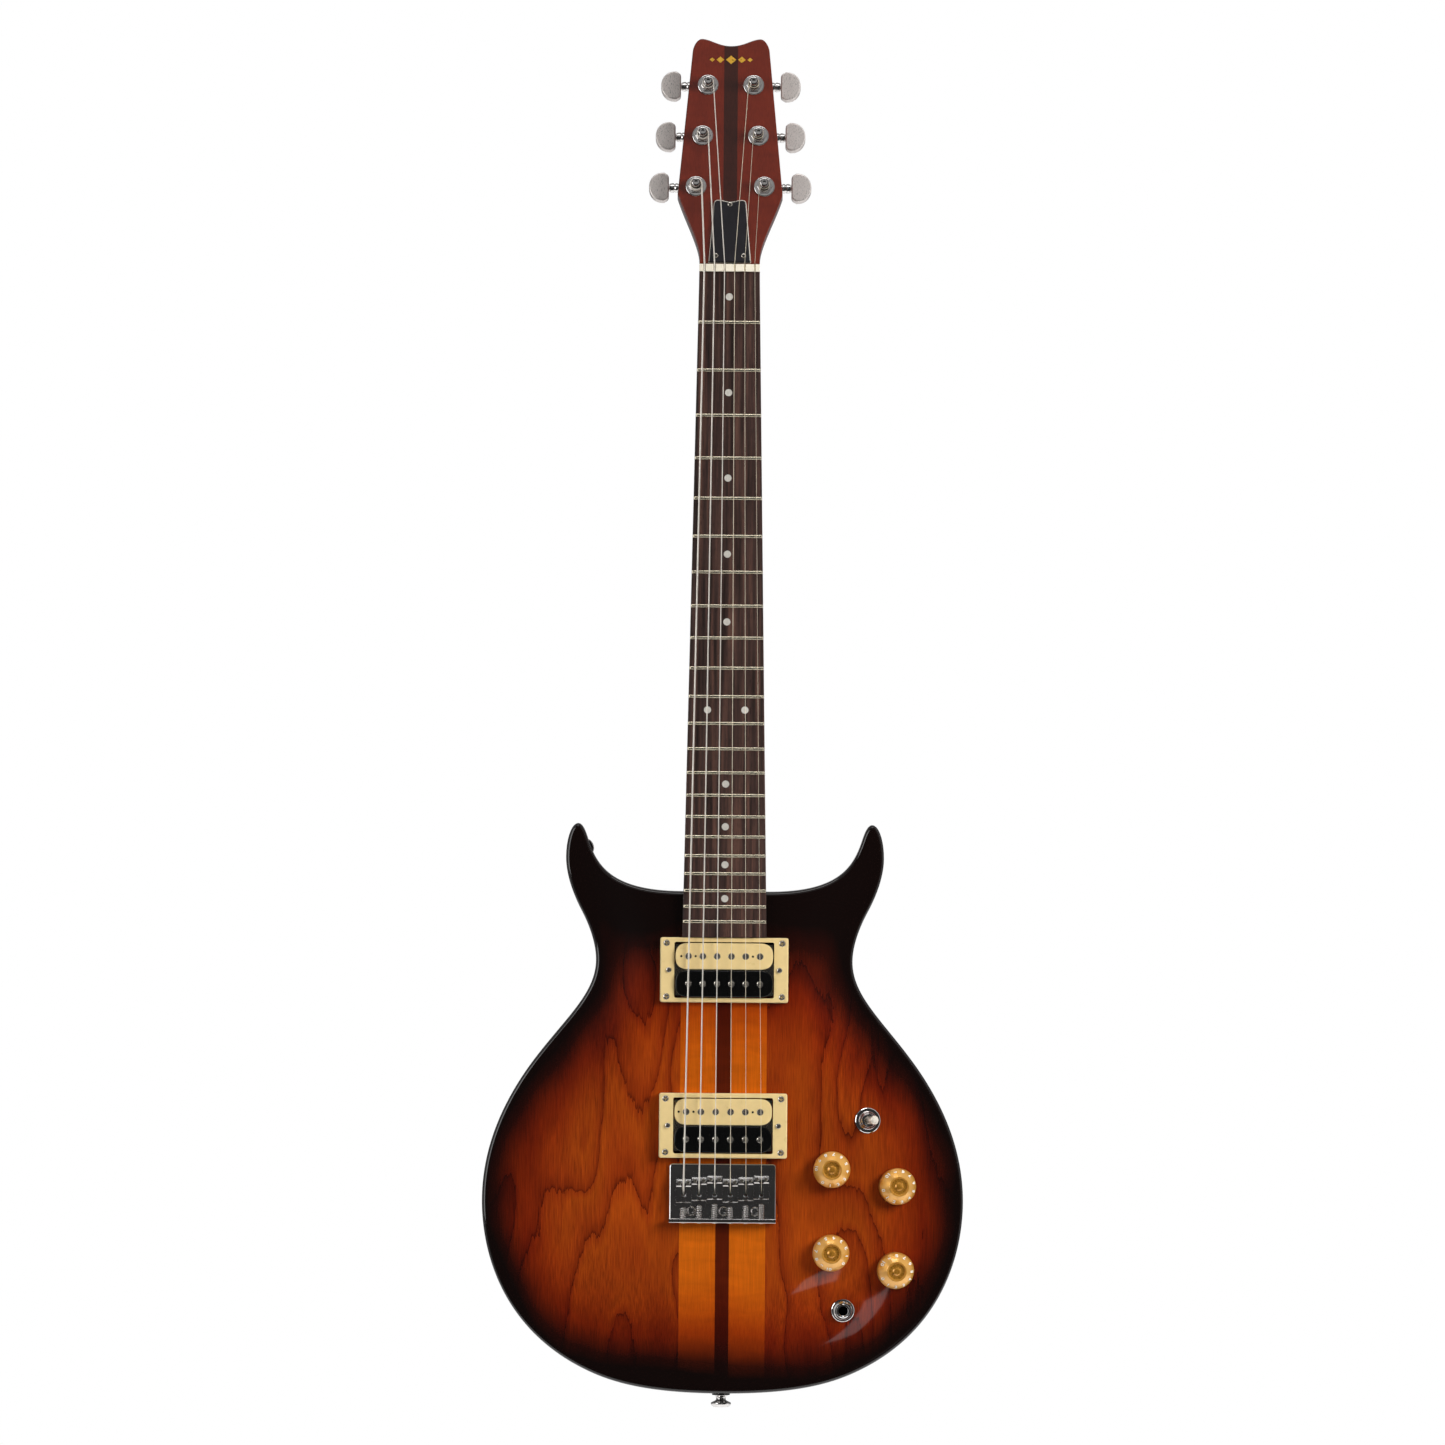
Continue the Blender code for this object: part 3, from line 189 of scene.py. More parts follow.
@dataclass(frozen=True)
class Finish:
    """A surface: what it is made of and how it was worked.

    The name is the material's name, the colour an sRGB hex value.
    """

    name: str
    colour: str
    roughness: float
    metallic: float = 0.0
    ior: float = 1.5
    coat: float = 0.0
    coat_roughness: float = 0.03
    specular: float = 0.5

    def material(self) -> bpy.types.Material:
        """Makes the material, or finds the one made before."""
        found = bpy.data.materials.get(self.name)
        if found:
            return found
        made = bpy.data.materials.new(self.name)
        made.use_nodes = True
        shader = made.node_tree.nodes["Principled BSDF"]
        values = {
            "Base Color": linear(self.colour),
            "Roughness": self.roughness,
            "Metallic": self.metallic,
            "IOR": self.ior,
            "Specular IOR Level": self.specular,
            "Coat Weight": self.coat,
            "Coat Roughness": self.coat_roughness,
        }
        for name, value in values.items():
            shader.inputs[name].default_value = value
        made.diffuse_color = linear(self.colour)
        self.paint(made.node_tree, shader)
        return made

    def paint(self, tree: Tree, shader: Node) -> None:
        """Adds the pattern that this kind of surface has."""

    def noise(self, tree: Tree, size: Sequence[float], **values: float) -> Socket:
        """Adds a noise on object coordinates.

        Args:
            tree: The material's tree.
            size: How long one lump is along X, Y and Z, in millimetres.
            **values: Other inputs of the noise, named in small letters.

        Returns:
            The noise's value, around a half.
        """
        place = add_node(tree, "ShaderNodeTexCoord").outputs["Object"]
        per_metre = [1 / (s * MM) for s in size]
        lumps = add_node(tree, "ShaderNodeVectorMath", {0: place, 1: per_metre}, operation="MULTIPLY")
        inputs = {"Vector": lumps.outputs[0], "Scale": 1.0}
        inputs.update({key.capitalize(): value for key, value in values.items()})
        return add_node(tree, "ShaderNodeTexNoise", inputs).outputs[0]

    def rough(self, tree: Tree, shader: Node, by: Socket, spread: float) -> None:
        """Lets the roughness wander around the finish's own by a share of it."""
        spans = (*NOISE_SPAN, self.roughness * (1 - spread), self.roughness * (1 + spread))
        tree.links.new(ranged(tree, by, spans), shader.inputs["Roughness"])

    def relief(self, tree: Tree, shader: Node, by: Socket, depth: float, strength: float) -> None:
        """Raises and sinks the surface by a height.

        Args:
            tree: The material's tree.
            shader: The material's shader.
            by: The height, from nought to one.
            depth: The height of one, in millimetres.
            strength: How much of the tilt counts.
        """
        inputs = {"Height": by, "Distance": depth * MM, "Strength": strength}
        bump = add_node(tree, "ShaderNodeBump", inputs)
        tree.links.new(bump.outputs[0], shader.inputs["Normal"])


@dataclass(frozen=True)
class Moulded(Finish):
    """Injection-moulded plastic, bone or felt: a cloudy body colour and a fine skin."""

    cloud: float = 6.0
    cloud_depth: float = 0.08
    skin: float = 0.35
    skin_depth: float = 0.012

    def paint(self, tree: Tree, shader: Node) -> None:
        """Adds the clouding and the skin."""
        clouds = self.noise(tree, (self.cloud,) * 3, detail=3.0)
        base = linear(self.colour)
        dark = tuple(c * (1 - self.cloud_depth) for c in base[:3]) + (1.0,)
        light = tuple(min(1.0, c * (1 + self.cloud_depth)) for c in base[:3]) + (1.0,)
        tree.links.new(mixed(tree, clouds, dark, light), shader.inputs["Base Color"])
        grain = self.noise(tree, (self.skin,) * 3, detail=2.0)
        self.rough(tree, shader, clouds, 0.25)
        self.relief(tree, shader, grain, self.skin_depth, 0.35)


@dataclass(frozen=True)
class Plated(Finish):
    """Polished, plated or drawn metal: faint marks that run one way."""

    metallic: float = 1.0
    mark: tuple[float, float, float] = (0.4, 0.4, 5.0)
    spread: float = 0.4
    mark_depth: float = 0.004
    haze: str = "#000000"
    haze_share: float = 0.0

    def paint(self, tree: Tree, shader: Node) -> None:
        """Adds the polishing marks and a little haze."""
        marks = self.noise(tree, self.mark, detail=4.0, roughness=0.6)
        film = self.noise(tree, (9.0, 9.0, 9.0), detail=2.0)
        share = ranged(tree, film, (0.35, 0.75, 0.0, self.haze_share))
        hazed = mixed(tree, share, linear(self.colour), linear(self.haze))
        tree.links.new(hazed, shader.inputs["Base Color"])
        self.rough(tree, shader, marks, self.spread)
        self.relief(tree, shader, marks, self.mark_depth, 0.2)


@dataclass(frozen=True)
class OiledRosewood(Finish):
    """Oiled rosewood: dark straight streaks and open pores along the neck."""

    streak: str = "#1E120E"
    bright: str = "#5A3C31"

    def paint(self, tree: Tree, shader: Node) -> None:
        """Adds the streaks and pores, all stretched along Z."""
        streaks = self.noise(tree, (2.6, 3.0, 95.0), detail=3.0, roughness=0.6)
        stops = ((0.32, self.streak), (0.5, self.colour), (0.68, self.bright))
        tone = add_node(tree, "ShaderNodeValToRGB", {0: streaks}, stops).outputs[0]
        pores = self.noise(tree, (0.45, 0.6, 6.0), detail=1.0)
        pit = ranged(tree, pores, (0.30, 0.42, 0.45, 1.0))
        tree.links.new(mixed(tree, 1.0, tone, pit, "MULTIPLY"), shader.inputs["Base Color"])
        self.rough(tree, shader, streaks, 0.2)
        self.relief(tree, shader, pit, 0.05, 0.5)


@dataclass(frozen=True)
class BurstLacquer(Finish):
    """Wood under clear gloss lacquer that was sprayed from black through red at the rim.

    The mesh carries how deep each point lies inside the sprayed rim, as an attribute in metres.
    The spray's edge sways by some millimetres; the ramps' places are depths at so many per metre.
    """

    black: str = "#0E0504"
    red: tuple[float, float, float] = (0.66, 0.30, 0.35)
    sway: float = 4.0
    per_metre: float = 10.0
    coat: float = 1.0
    specular: float = 0.04

    def wood(self, tree: Tree) -> tuple[Socket, Socket]:
        """Gives the bare wood's colour and its relief."""
        raise NotImplementedError

    def paint(self, tree: Tree, shader: Node) -> None:
        """Sprays the burst over the wood."""
        colour, height = self.wood(tree)
        depth = add_node(tree, "ShaderNodeAttribute", attribute_name="burst").outputs["Fac"]
        drift = self.noise(tree, (45.0, 45.0, 70.0), detail=1.0)
        sway = ranged(tree, drift, (*NOISE_SPAN, -self.sway * MM, self.sway * MM))
        depth = maths(tree, "ADD", depth, sway)
        share = maths(tree, "MULTIPLY", depth, self.per_metre)
        stops = ((0.10, 1.0), (0.32, 0.85), (0.58, 0.12), (0.78, 0.0))
        red = add_node(tree, "ShaderNodeValToRGB", {0: share}, stops).outputs[0]
        tinted = mixed(tree, red, colour, (*self.red, 1.0), "MULTIPLY")
        stops = ((0.08, 1.0), (0.15, 0.93), (0.22, 0.66), (0.30, 0.30), (0.42, 0.05), (0.5, 0.0))
        shade = add_node(tree, "ShaderNodeValToRGB", {0: share}, stops).outputs[0]
        sprayed = mixed(tree, shade, tinted, linear(self.black))
        tree.links.new(sprayed, shader.inputs["Base Color"])
        self.relief(tree, shader, height, 0.03, 0.15)


@dataclass(frozen=True)
class WingWood(BurstLacquer):
    """Flat-sawn open-grained wood: growth rings cut in long ragged arches, with dark pores."""

    late: str = "#501602"
    turning: str = "#802B07"
    early: str = "#A1420B"
    rings: float = 9.0
    raggedness: float = 0.035

    def wood(self, tree: Tree) -> tuple[Socket, Socket]:
        """Draws the arches as level lines of a long, slow noise, and fibres along Z."""
        figure = self.noise(tree, (62.0, 70.0, 215.0), detail=1.5, roughness=0.5, distortion=0.3)
        ragged = self.noise(tree, (2.2, 3.0, 26.0), detail=3.0, roughness=0.62)
        nudge = maths(tree, "MULTIPLY", ragged, self.raggedness)
        level = maths(tree, "ADD", figure, nudge)
        turn = maths(tree, "FRACT", maths(tree, "MULTIPLY", level, self.rings))
        stops = (
            (0.0, self.late),
            (0.06, self.turning),
            (0.25, self.colour),
            (0.8, self.early),
            (0.97, self.colour),
        )
        tone = add_node(tree, "ShaderNodeValToRGB", {0: turn}, stops).outputs[0]
        fibres = self.noise(tree, (0.55, 1.0, 16.0), detail=3.0, roughness=0.6)
        lines = ranged(tree, fibres, (0.32, 0.66, 0.64, 1.2))
        lined = mixed(tree, 1.0, tone, lines, "MULTIPLY")
        patches = self.noise(tree, (70.0, 70.0, 120.0), detail=2.0)
        patch = ranged(tree, patches, (*NOISE_SPAN, 0.78, 1.2))
        return mixed(tree, 1.0, lined, patch, "MULTIPLY"), fibres


@dataclass(frozen=True)
class BeamWood(BurstLacquer):
    """Two strips of maple with a dark strip between them, stained red-brown on neck and head.

    The mesh carries how far the stain has set in, as an attribute.
    """

    middle: str = "#541905"
    stained: str = "#621F10"
    stained_middle: str = "#34150E"
    half_middle: float = 4.8
    glue_line: float = 0.15

    def wood(self, tree: Tree) -> tuple[Socket, Socket]:
        """Lays the strips side by side along Z and stains them."""
        place = add_node(tree, "ShaderNodeTexCoord").outputs["Object"]
        across = add_node(tree, "ShaderNodeSeparateXYZ", {0: place}).outputs[0]
        out = maths(tree, "ABSOLUTE", across)
        spans = ((self.half_middle - self.glue_line) * MM, (self.half_middle + self.glue_line) * MM)
        maple = ranged(tree, out, spans)
        stain = add_node(tree, "ShaderNodeAttribute", attribute_name="stain").outputs["Fac"]
        tones = []
        for bare, stained in ((self.middle, self.stained_middle), (self.colour, self.stained)):
            tones.append(mixed(tree, stain, linear(bare), linear(stained)))
        laid = mixed(tree, maple, *tones)
        fibres = self.noise(tree, (0.7, 1.2, 22.0), detail=3.0, roughness=0.6)
        lines = ranged(tree, fibres, (*NOISE_SPAN, 0.84, 1.12))
        grained = mixed(tree, 1.0, laid, lines, "MULTIPLY")
        flame = self.noise(tree, (26.0, 26.0, 7.0), detail=2.0, distortion=0.6)
        shimmer = ranged(tree, flame, (*NOISE_SPAN, 0.90, 1.08))
        return mixed(tree, 1.0, grained, shimmer, "MULTIPLY"), fibres


# Wiped grain shows through a hard, wet-looking coat
WING_WOOD = WingWood("ash wings, sunburst gloss lacquer", "#92360A", 0.34, coat_roughness=0.045)
# Pale hard strips with a dark one between, polished flat under the same lacquer
BEAM_WOOD = BeamWood("maple and walnut beam, gloss lacquer", "#C9600C", 0.34, coat_roughness=0.045)
# Dark brown, dry-looking wood that only oil has filled
ROSEWOOD = OiledRosewood("rosewood, planed and oiled", "#3A2621", 0.52)
# Off-white with a soft polish from handling
BONE = Moulded("bone, filed and polished", "#EFE6D2", 0.36, cloud=3.0, cloud_depth=0.05)
# Aged ivory-coloured plastic with a soft shine
CREAM_PLASTIC = Moulded("cream ABS, moulded", "#EBCF92", 0.34, coat=0.25, coat_roughness=0.15)
# Moulded black that shines like the tool it came from
BLACK_PLASTIC = Moulded("black ABS, moulded gloss", "#070707", 0.16, coat=0.3, cloud_depth=0.3)
# Thin light edge where the black sheet is bevelled through to its core
PLY_PLASTIC = Moulded("black laminate, bevelled edge", "#D8D2C6", 0.4)
# Sheet black, rubbed down so that it shines less
COVER_PLASTIC = Moulded("black laminate, brushed", "#17151A", 0.38, cloud_depth=0.2)
# Hairy and dull, pressed flat under the strap buttons
BLACK_FELT = Moulded("black wool felt, pressed", "#0B0B0B", 0.95, skin=0.5, skin_depth=0.15)
# Cloth tape round the windings, with its weave
COIL_TAPE = Moulded("black cloth tape, wound", "#14110E", 0.7, skin=0.4, skin_depth=0.08)
# Gold paint seen through a clear shell, which adds its own shine
GOLD_PAINT = Plated(
    "clear acrylic over gold paint",
    "#E6A848",
    0.32,
    metallic=0.55,
    coat=1.0,
    mark=(3.0, 3.0, 3.0),
    spread=0.12,
    mark_depth=0.0005,
)
# Foil in the knob's crown, deeper in colour than the paint round it
DARK_GOLD = Plated(
    "gold foil insert, pressed",
    "#C88A2E",
    0.28,
    metallic=0.6,
    coat=0.6,
    mark=(2.0, 2.0, 2.0),
    spread=0.15,
    mark_depth=0.0005,
)
# Thin metal leaf under the headstock's clear coat
GOLD_FOIL = Plated("gold leaf under lacquer", "#E7B23C", 0.34, metallic=0.55, coat=0.4, mark=(1.2, 1.2, 1.2))
# Die-cast tuner buttons, plated and barrel polished to a soft shine
PEARL_CHROME = Plated("cast zinc, pearl chrome plate", "#DDD5D0", 0.34, metallic=0.6)
# Mirror plating that hands and cloths have left with a faint haze
CHROME = Plated("chrome plate, polished", "#E2DFDD", 0.09, haze="#B8B3B0", haze_share=0.4)
# Small screws and poles, tumbled bright and a little yellower than the chrome
NICKEL = Plated("nickel plate, barrel polished", "#D8D1C6", 0.2, metallic=0.9, haze="#A0988C", haze_share=0.5)
# Brushed rather than polished, so it looks pale from every side
SATIN_NICKEL = Plated(
    "nickel plate, satin", "#F4EADC", 0.42, metallic=0.5, mark=(0.5, 0.5, 0.5), mark_depth=0.0008
)
# Hidden steel that was plated against rust, not for show
BARE_STEEL = Plated("steel, zinc plated", "#A9A9AC", 0.32, haze="#77777A", haze_share=0.8)
# Drawn wire, dressed along the board and then crowned and polished
FRETWIRE = Plated("nickel silver fretwire, crowned", "#F1E6CC", 0.26, mark=(5.0, 0.4, 0.4))
# Windings scatter the light, so the basses look paler than plain steel
WOUND_STRING = Plated(
    "nickel wound string",
    "#F4EDE2",
    0.38,
    metallic=0.75,
    mark=(0.5, 0.5, 0.35),
    mark_depth=0.03,
    spread=0.2,
)
# Smooth wire with die marks along it
PLAIN_STRING = Plated(
    "plain steel string, drawn", "#F0E4CC", 0.36, metallic=0.75, mark=(0.2, 0.2, 20.0), mark_depth=0.0005
)
# Pale shell whose layers make clouds, level with the wood
PEARL = Moulded("shell dot, sanded flush", "#CFCBC2", 0.22, cloud=1.6, cloud_depth=0.22, coat=0.4)
# Opaque ink that sits on the knobs' clear shell
WHITE_PAINT = Moulded("white printing ink", "#F6F1E4", 0.5)


# Shapes


def eased(
    corners: Plan, radius: float | Sequence[float], steps: int = 4, closed: bool = True
) -> list[Vector]:
    """Rounds the corners of an outline or a profile.

    Args:
        corners: The corner points.
        radius: How far back from a corner its round starts, for all corners or for each.
        steps: Points along each round, less one.
        closed: Whether the last point joins the first.

    Returns:
        The rounded points.
    """
    points = [Vector(c) for c in corners]
    count = len(points)
    reaches = radius if isinstance(radius, Sequence) else [radius] * count
    made = []
    for i, (corner, reach) in enumerate(zip(points, reaches)):
        if reach <= 0 or (not closed and i in (0, count - 1)):
            made.append(corner)
            continue
        arms = [points[i - 1] - corner, points[(i + 1) % count] - corner]
        start, end = (corner + arm.normalized() * min(reach, 0.45 * arm.length) for arm in arms)
        for step in range(steps + 1):
            t = step / steps
            made.append(start * (1 - t) ** 2 + corner * 2 * t * (1 - t) + end * t * t)
    return made


def rectangle(half_x: float, half_y: float, x: float = 0.0, y: float = 0.0) -> list[tuple[float, float]]:
    """Gives the corners of a rectangle about a centre."""
    return [
        (x - half_x, y - half_y),
        (x + half_x, y - half_y),
        (x + half_x, y + half_y),
        (x - half_x, y + half_y),
    ]


def mesh_from(points: Iterable[Sequence[float]], faces: Iterable[Sequence[int]]) -> Mesh:
    """Makes a mesh whose doubles are merged and whose faces point outwards."""
    made = bpy.data.meshes.new("shape")
    made.from_pydata([tuple(p) for p in points], [], [tuple(f) for f in faces])
    bm = bmesh.new()
    bm.from_mesh(made)
    bmesh.ops.remove_doubles(bm, verts=bm.verts, dist=1e-7)
    bmesh.ops.recalc_face_normals(bm, faces=bm.faces)
    bm.to_mesh(made)
    bm.free()
    return made


def loft(sections: Sequence[Plan], capped: bool = True) -> Mesh:
    """Makes a solid through loops that all have the same number of points."""
    count = len(sections[0])
    faces = []
    for i in range(len(sections) - 1):
        for a in range(count):
            b = (a + 1) % count
            faces.append((i * count + a, i * count + b, (i + 1) * count + b, (i + 1) * count + a))
    if capped:
        faces += [range(count), range((len(sections) - 1) * count, len(sections) * count)]
    return mesh_from([p for section in sections for p in section], faces)


def prism(outline: Plan, low: float, high: float, ease: float = 0.0, steps: int = 3) -> Mesh:
    """Makes a solid from a plan in XY between two heights.

    Args:
        outline: The plan, counterclockwise.
        low: Height of its foot.
        high: Height of its top.
        ease: Radius of the round along the top's edge.
        steps: Steps in that round.

    Returns:
        The mesh.
    """
    levels = [(low, 0.0)]
    for step in range(steps + 1 if ease else 1):
        turn = math.pi / 2 * step / steps
        levels.append((high - ease * (1 - math.sin(turn)), ease * (1 - math.cos(turn))))
    plan = [Vector(p[:2]) for p in outline]
    return loft([[(*p, height) for p in inset(plan, depth)] for height, depth in levels])


def inset(plan: Sequence[Vector], depth: float) -> list[Vector]:
    """Moves each point of a counterclockwise plan inwards, square to the outline."""
    if not depth:
        return list(plan)
    made = []
    for i, point in enumerate(plan):
        before = (point - plan[i - 1]).normalized()
        after = (plan[(i + 1) % len(plan)] - point).normalized()
        normals = [Vector((-way.y, way.x)) for way in (before, after)]
        middle = (normals[0] + normals[1]).normalized()
        made.append(point + middle * depth / max(0.5, middle.dot(normals[0])))
    return made


def turned(profile: Plan, steps: int = 48) -> Mesh:
    """Turns a profile of radii and heights about Z; it starts and ends on the axis."""
    points, rings, faces = [], [], []
    for radius, height in profile:
        around = steps if radius > 1e-7 else 1
        rings.append(range(len(points), len(points) + around))
        for step in range(around):
            angle = math.tau * step / around
            points.append((radius * math.cos(angle), radius * math.sin(angle), height))
    for low, high in zip(rings, rings[1:]):
        for a in range(steps):
            b = (a + 1) % steps
            corners = [low[a % len(low)], low[b % len(low)], high[b % len(high)], high[a % len(high)]]
            faces.append(list(dict.fromkeys(corners)))
    return mesh_from(points, [f for f in faces if len(f) > 2])


def at(*place: float) -> Matrix:
    """Gives the frame that stands at a place."""
    return Matrix.Translation(place)


def about(axis: str, angle: float) -> Matrix:
    """Gives the frame that is turned about an axis."""
    return Matrix.Rotation(angle, 4, axis)


def linked(name: str, data: Any) -> Thing:
    """Makes an object of a mesh, a lamp or the like and puts it in the scene."""
    made = bpy.data.objects.new(name, data)
    bpy.context.scene.collection.objects.link(made)
    return made


def rod(radius: float, low: float, high: float, steps: int = 20) -> Mesh:
    """Turns a plain round rod about Z between two heights."""
    return turned([(0, low), (radius, low), (radius, high), (0, high)], steps)


def hexagon(radius: float, low: float, high: float, ease: float = 0.0) -> Mesh:
    """Makes a six-sided bar about Z between two heights; the radius is to its corners."""
    turns = [math.tau * i / 6 for i in range(6)]
    return prism([(radius * math.cos(t), radius * math.sin(t)) for t in turns], low, high, ease)


def ring(profile: Plan, steps: int = 48) -> Mesh:
    """Turns a closed profile that stays clear of the axis, as for a washer or a tube."""
    sections = []
    for step in range(steps):
        angle = math.tau * step / steps
        sections.append([(r * math.cos(angle), r * math.sin(angle), height) for r, height in profile])
    return loft([*sections, sections[0]], capped=False)


def placed(mesh: Mesh, *frames: Matrix) -> Mesh:
    """Moves a mesh by these frames, the last one first."""
    for frame in reversed(frames):
        mesh.transform(frame)
        if frame.to_3x3().determinant() < 0:
            mesh.flip_normals()
    return mesh


def gathered(meshes: Iterable[Mesh]) -> Mesh:
    """Puts several meshes in one, each still closed in itself."""
    bm = bmesh.new()
    for mesh in meshes:
        bm.from_mesh(mesh)
    made = bpy.data.meshes.new("shape")
    bm.to_mesh(made)
    bm.free()
    return made


def worked(
    mesh: Mesh, add: Iterable[Mesh] = (), cut: Iterable[Mesh] = (), bevel: float = 0.0, steps: int = 3
) -> Mesh:
    """Joins solids to a mesh, cuts others from it and bevels its sharp edges.

    Args:
        mesh: The mesh that is worked on.
        add: Solids that are joined to it.
        cut: Solids whose space is taken away, after the joining.
        bevel: Width of the round on its sharp edges.
        steps: Steps in that round.

    Returns:
        A plain mesh.
    """
    target = linked("work", mesh)
    helpers = []
    for operation, others in (("UNION", add), ("DIFFERENCE", cut)):
        for other in others:
            helpers.append(linked("tool", other))
            step = target.modifiers.new(operation, "BOOLEAN")
            step.operation = operation
            step.object = helpers[-1]
    if bevel:
        edge = target.modifiers.new("bevel", "BEVEL")
        edge.width = bevel
        edge.segments = steps
        edge.limit_method = "ANGLE"
        edge.angle_limit = math.radians(38)
        edge.use_clamp_overlap = True
    made = plain(target)
    for used in (target, *helpers):
        bpy.data.objects.remove(used)
    return made


def plain(thing: Thing) -> Mesh:
    """Gives what an object's modifiers make of it, as a mesh of its own."""
    graph = bpy.context.evaluated_depsgraph_get()
    return bpy.data.meshes.new_from_object(thing.evaluated_get(graph))


def finished(
    name: str,
    mesh: Mesh,
    finish: Finish,
    body: str | tuple[str, str],
    replaces: Sequence[str] = (),
    sharp: float = 38.0,
    span: tuple[Vector, Vector] | None = None,
) -> Thing:
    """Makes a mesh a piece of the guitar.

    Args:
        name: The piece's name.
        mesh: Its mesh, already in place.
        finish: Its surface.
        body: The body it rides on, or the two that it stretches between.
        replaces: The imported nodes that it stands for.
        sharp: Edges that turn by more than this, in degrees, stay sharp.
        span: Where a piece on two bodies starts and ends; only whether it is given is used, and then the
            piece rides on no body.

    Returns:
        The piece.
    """
    made = linked(name, mesh)
    mesh.materials.clear()
    mesh.materials.append(finish.material())
    mesh.shade_smooth()
    mesh.set_sharp_from_angle(angle=math.radians(sharp))
    made.modifiers.new("flat faces stay flat", "WEIGHTED_NORMAL").keep_sharp = True
    made.data = plain(made)
    made.modifiers.clear()
    made.data.name = name
    if span:
        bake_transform(made)
    else:
        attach(made, body)
    if replaces:
        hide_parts(*replaces)
    LOG.info("%s: %d faces on %s", name, len(mesh.polygons), body)
    return made


# What repeats


class Grower:
    """A Geometry Nodes tree with named inputs that is run to leave a plain mesh."""

    KINDS = {float: "NodeSocketFloat", int: "NodeSocketInt", Thing: "NodeSocketObject"}

    def __init__(self, name: str, sizes: dict[str, type]) -> None:
        """Starts the tree.

        Args:
            name: The tree's name.
            sizes: The inputs' names and kinds.
        """
        self.tree = bpy.data.node_groups.new(name, "GeometryNodeTree")
        face = self.tree.interface
        face.new_socket("Points", in_out="INPUT", socket_type="NodeSocketGeometry")
        face.new_socket("Shape", in_out="OUTPUT", socket_type="NodeSocketGeometry")
        self.keys = {}
        for size, kind in {**sizes, "Finish": bpy.types.Material}.items():
            socket = self.KINDS.get(kind, "NodeSocketMaterial")
            self.keys[size] = face.new_socket(size, in_out="INPUT", socket_type=socket).identifier
        self.inputs = add_node(self.tree, "NodeGroupInput").outputs

    def node(
        self, kind: str, inputs: dict[str | int, Any] | None = None, **settings: Any
    ) -> bpy.types.NodeOutputs:
        """Adds a node and gives its outputs."""
        return add_node(self.tree, kind, inputs, **settings).outputs

    def end(self, shape: Socket) -> None:
        """Ends the tree: real copies, all with the finish."""
        real = self.node("GeometryNodeRealizeInstances", {0: shape})
        inputs = {"Geometry": real[0], "Material": self.inputs["Finish"]}
        painted = self.node("GeometryNodeSetMaterial", inputs)
        add_node(self.tree, "NodeGroupOutput", {0: painted[0]})

    def grow(self, points: Mesh, finish: Finish, **values: Any) -> Mesh:
        """Runs the tree once.

        Args:
            points: The mesh that it starts from.
            finish: The surface of what it makes.
            **values: Its other inputs, named in small letters.

        Returns:
            The result as a plain mesh.
        """
        seat = linked("seat", points)
        step = seat.modifiers.new("grow", "NODES")
        step.node_group = self.tree
        step[self.keys["Finish"]] = finish.material()
        for name, value in values.items():
            step[self.keys[name.capitalize()]] = value
        made = plain(seat)
        bpy.data.objects.remove(seat)
        return made


class Seats(Grower):
    """Sets copies of one small piece at many places."""

    def __init__(self) -> None:
        """Builds the tree."""
        super().__init__("copies on seats", {"Piece": Thing})
        turn = self.node("GeometryNodeInputNamedAttribute", {"Name": "turn"}, data_type="FLOAT_VECTOR")
        spin = self.node("FunctionNodeEulerToRotation", {0: turn[0]})
        piece = self.node("GeometryNodeObjectInfo", {"Object": self.inputs["Piece"]})["Geometry"]
        inputs = {"Points": self.inputs["Points"], "Instance": piece, "Rotation": spin[0]}
        self.end(self.node("GeometryNodeInstanceOnPoints", inputs)[0])

    def set_out(self, piece: Mesh, frames: Sequence[Matrix], finish: Finish) -> Mesh:
        """Copies a piece to each frame.

        Args:
            piece: The piece about its own origin.
            frames: Where each copy goes and how it is turned.
            finish: Its surface.

        Returns:
            All the copies as one mesh.
        """
        points = bpy.data.meshes.new("seats")
        points.from_pydata([tuple(f.translation) for f in frames], [], [])
        turns = points.attributes.new("turn", "FLOAT_VECTOR", "POINT")
        turns.data.foreach_set("vector", [angle for f in frames for angle in f.to_euler()])
        master = bpy.data.objects.new("master", piece)
        made = self.grow(points, finish, piece=master)
        bpy.data.objects.remove(master)
        return made


def repeated(
    name: str, piece: Mesh, frames: Sequence[Matrix], finish: Finish, body: str
) -> None:
    """Sets a small piece at many places and makes the copies one piece of the guitar."""
    finished(name, Seats().set_out(piece, frames, finish), finish, body)


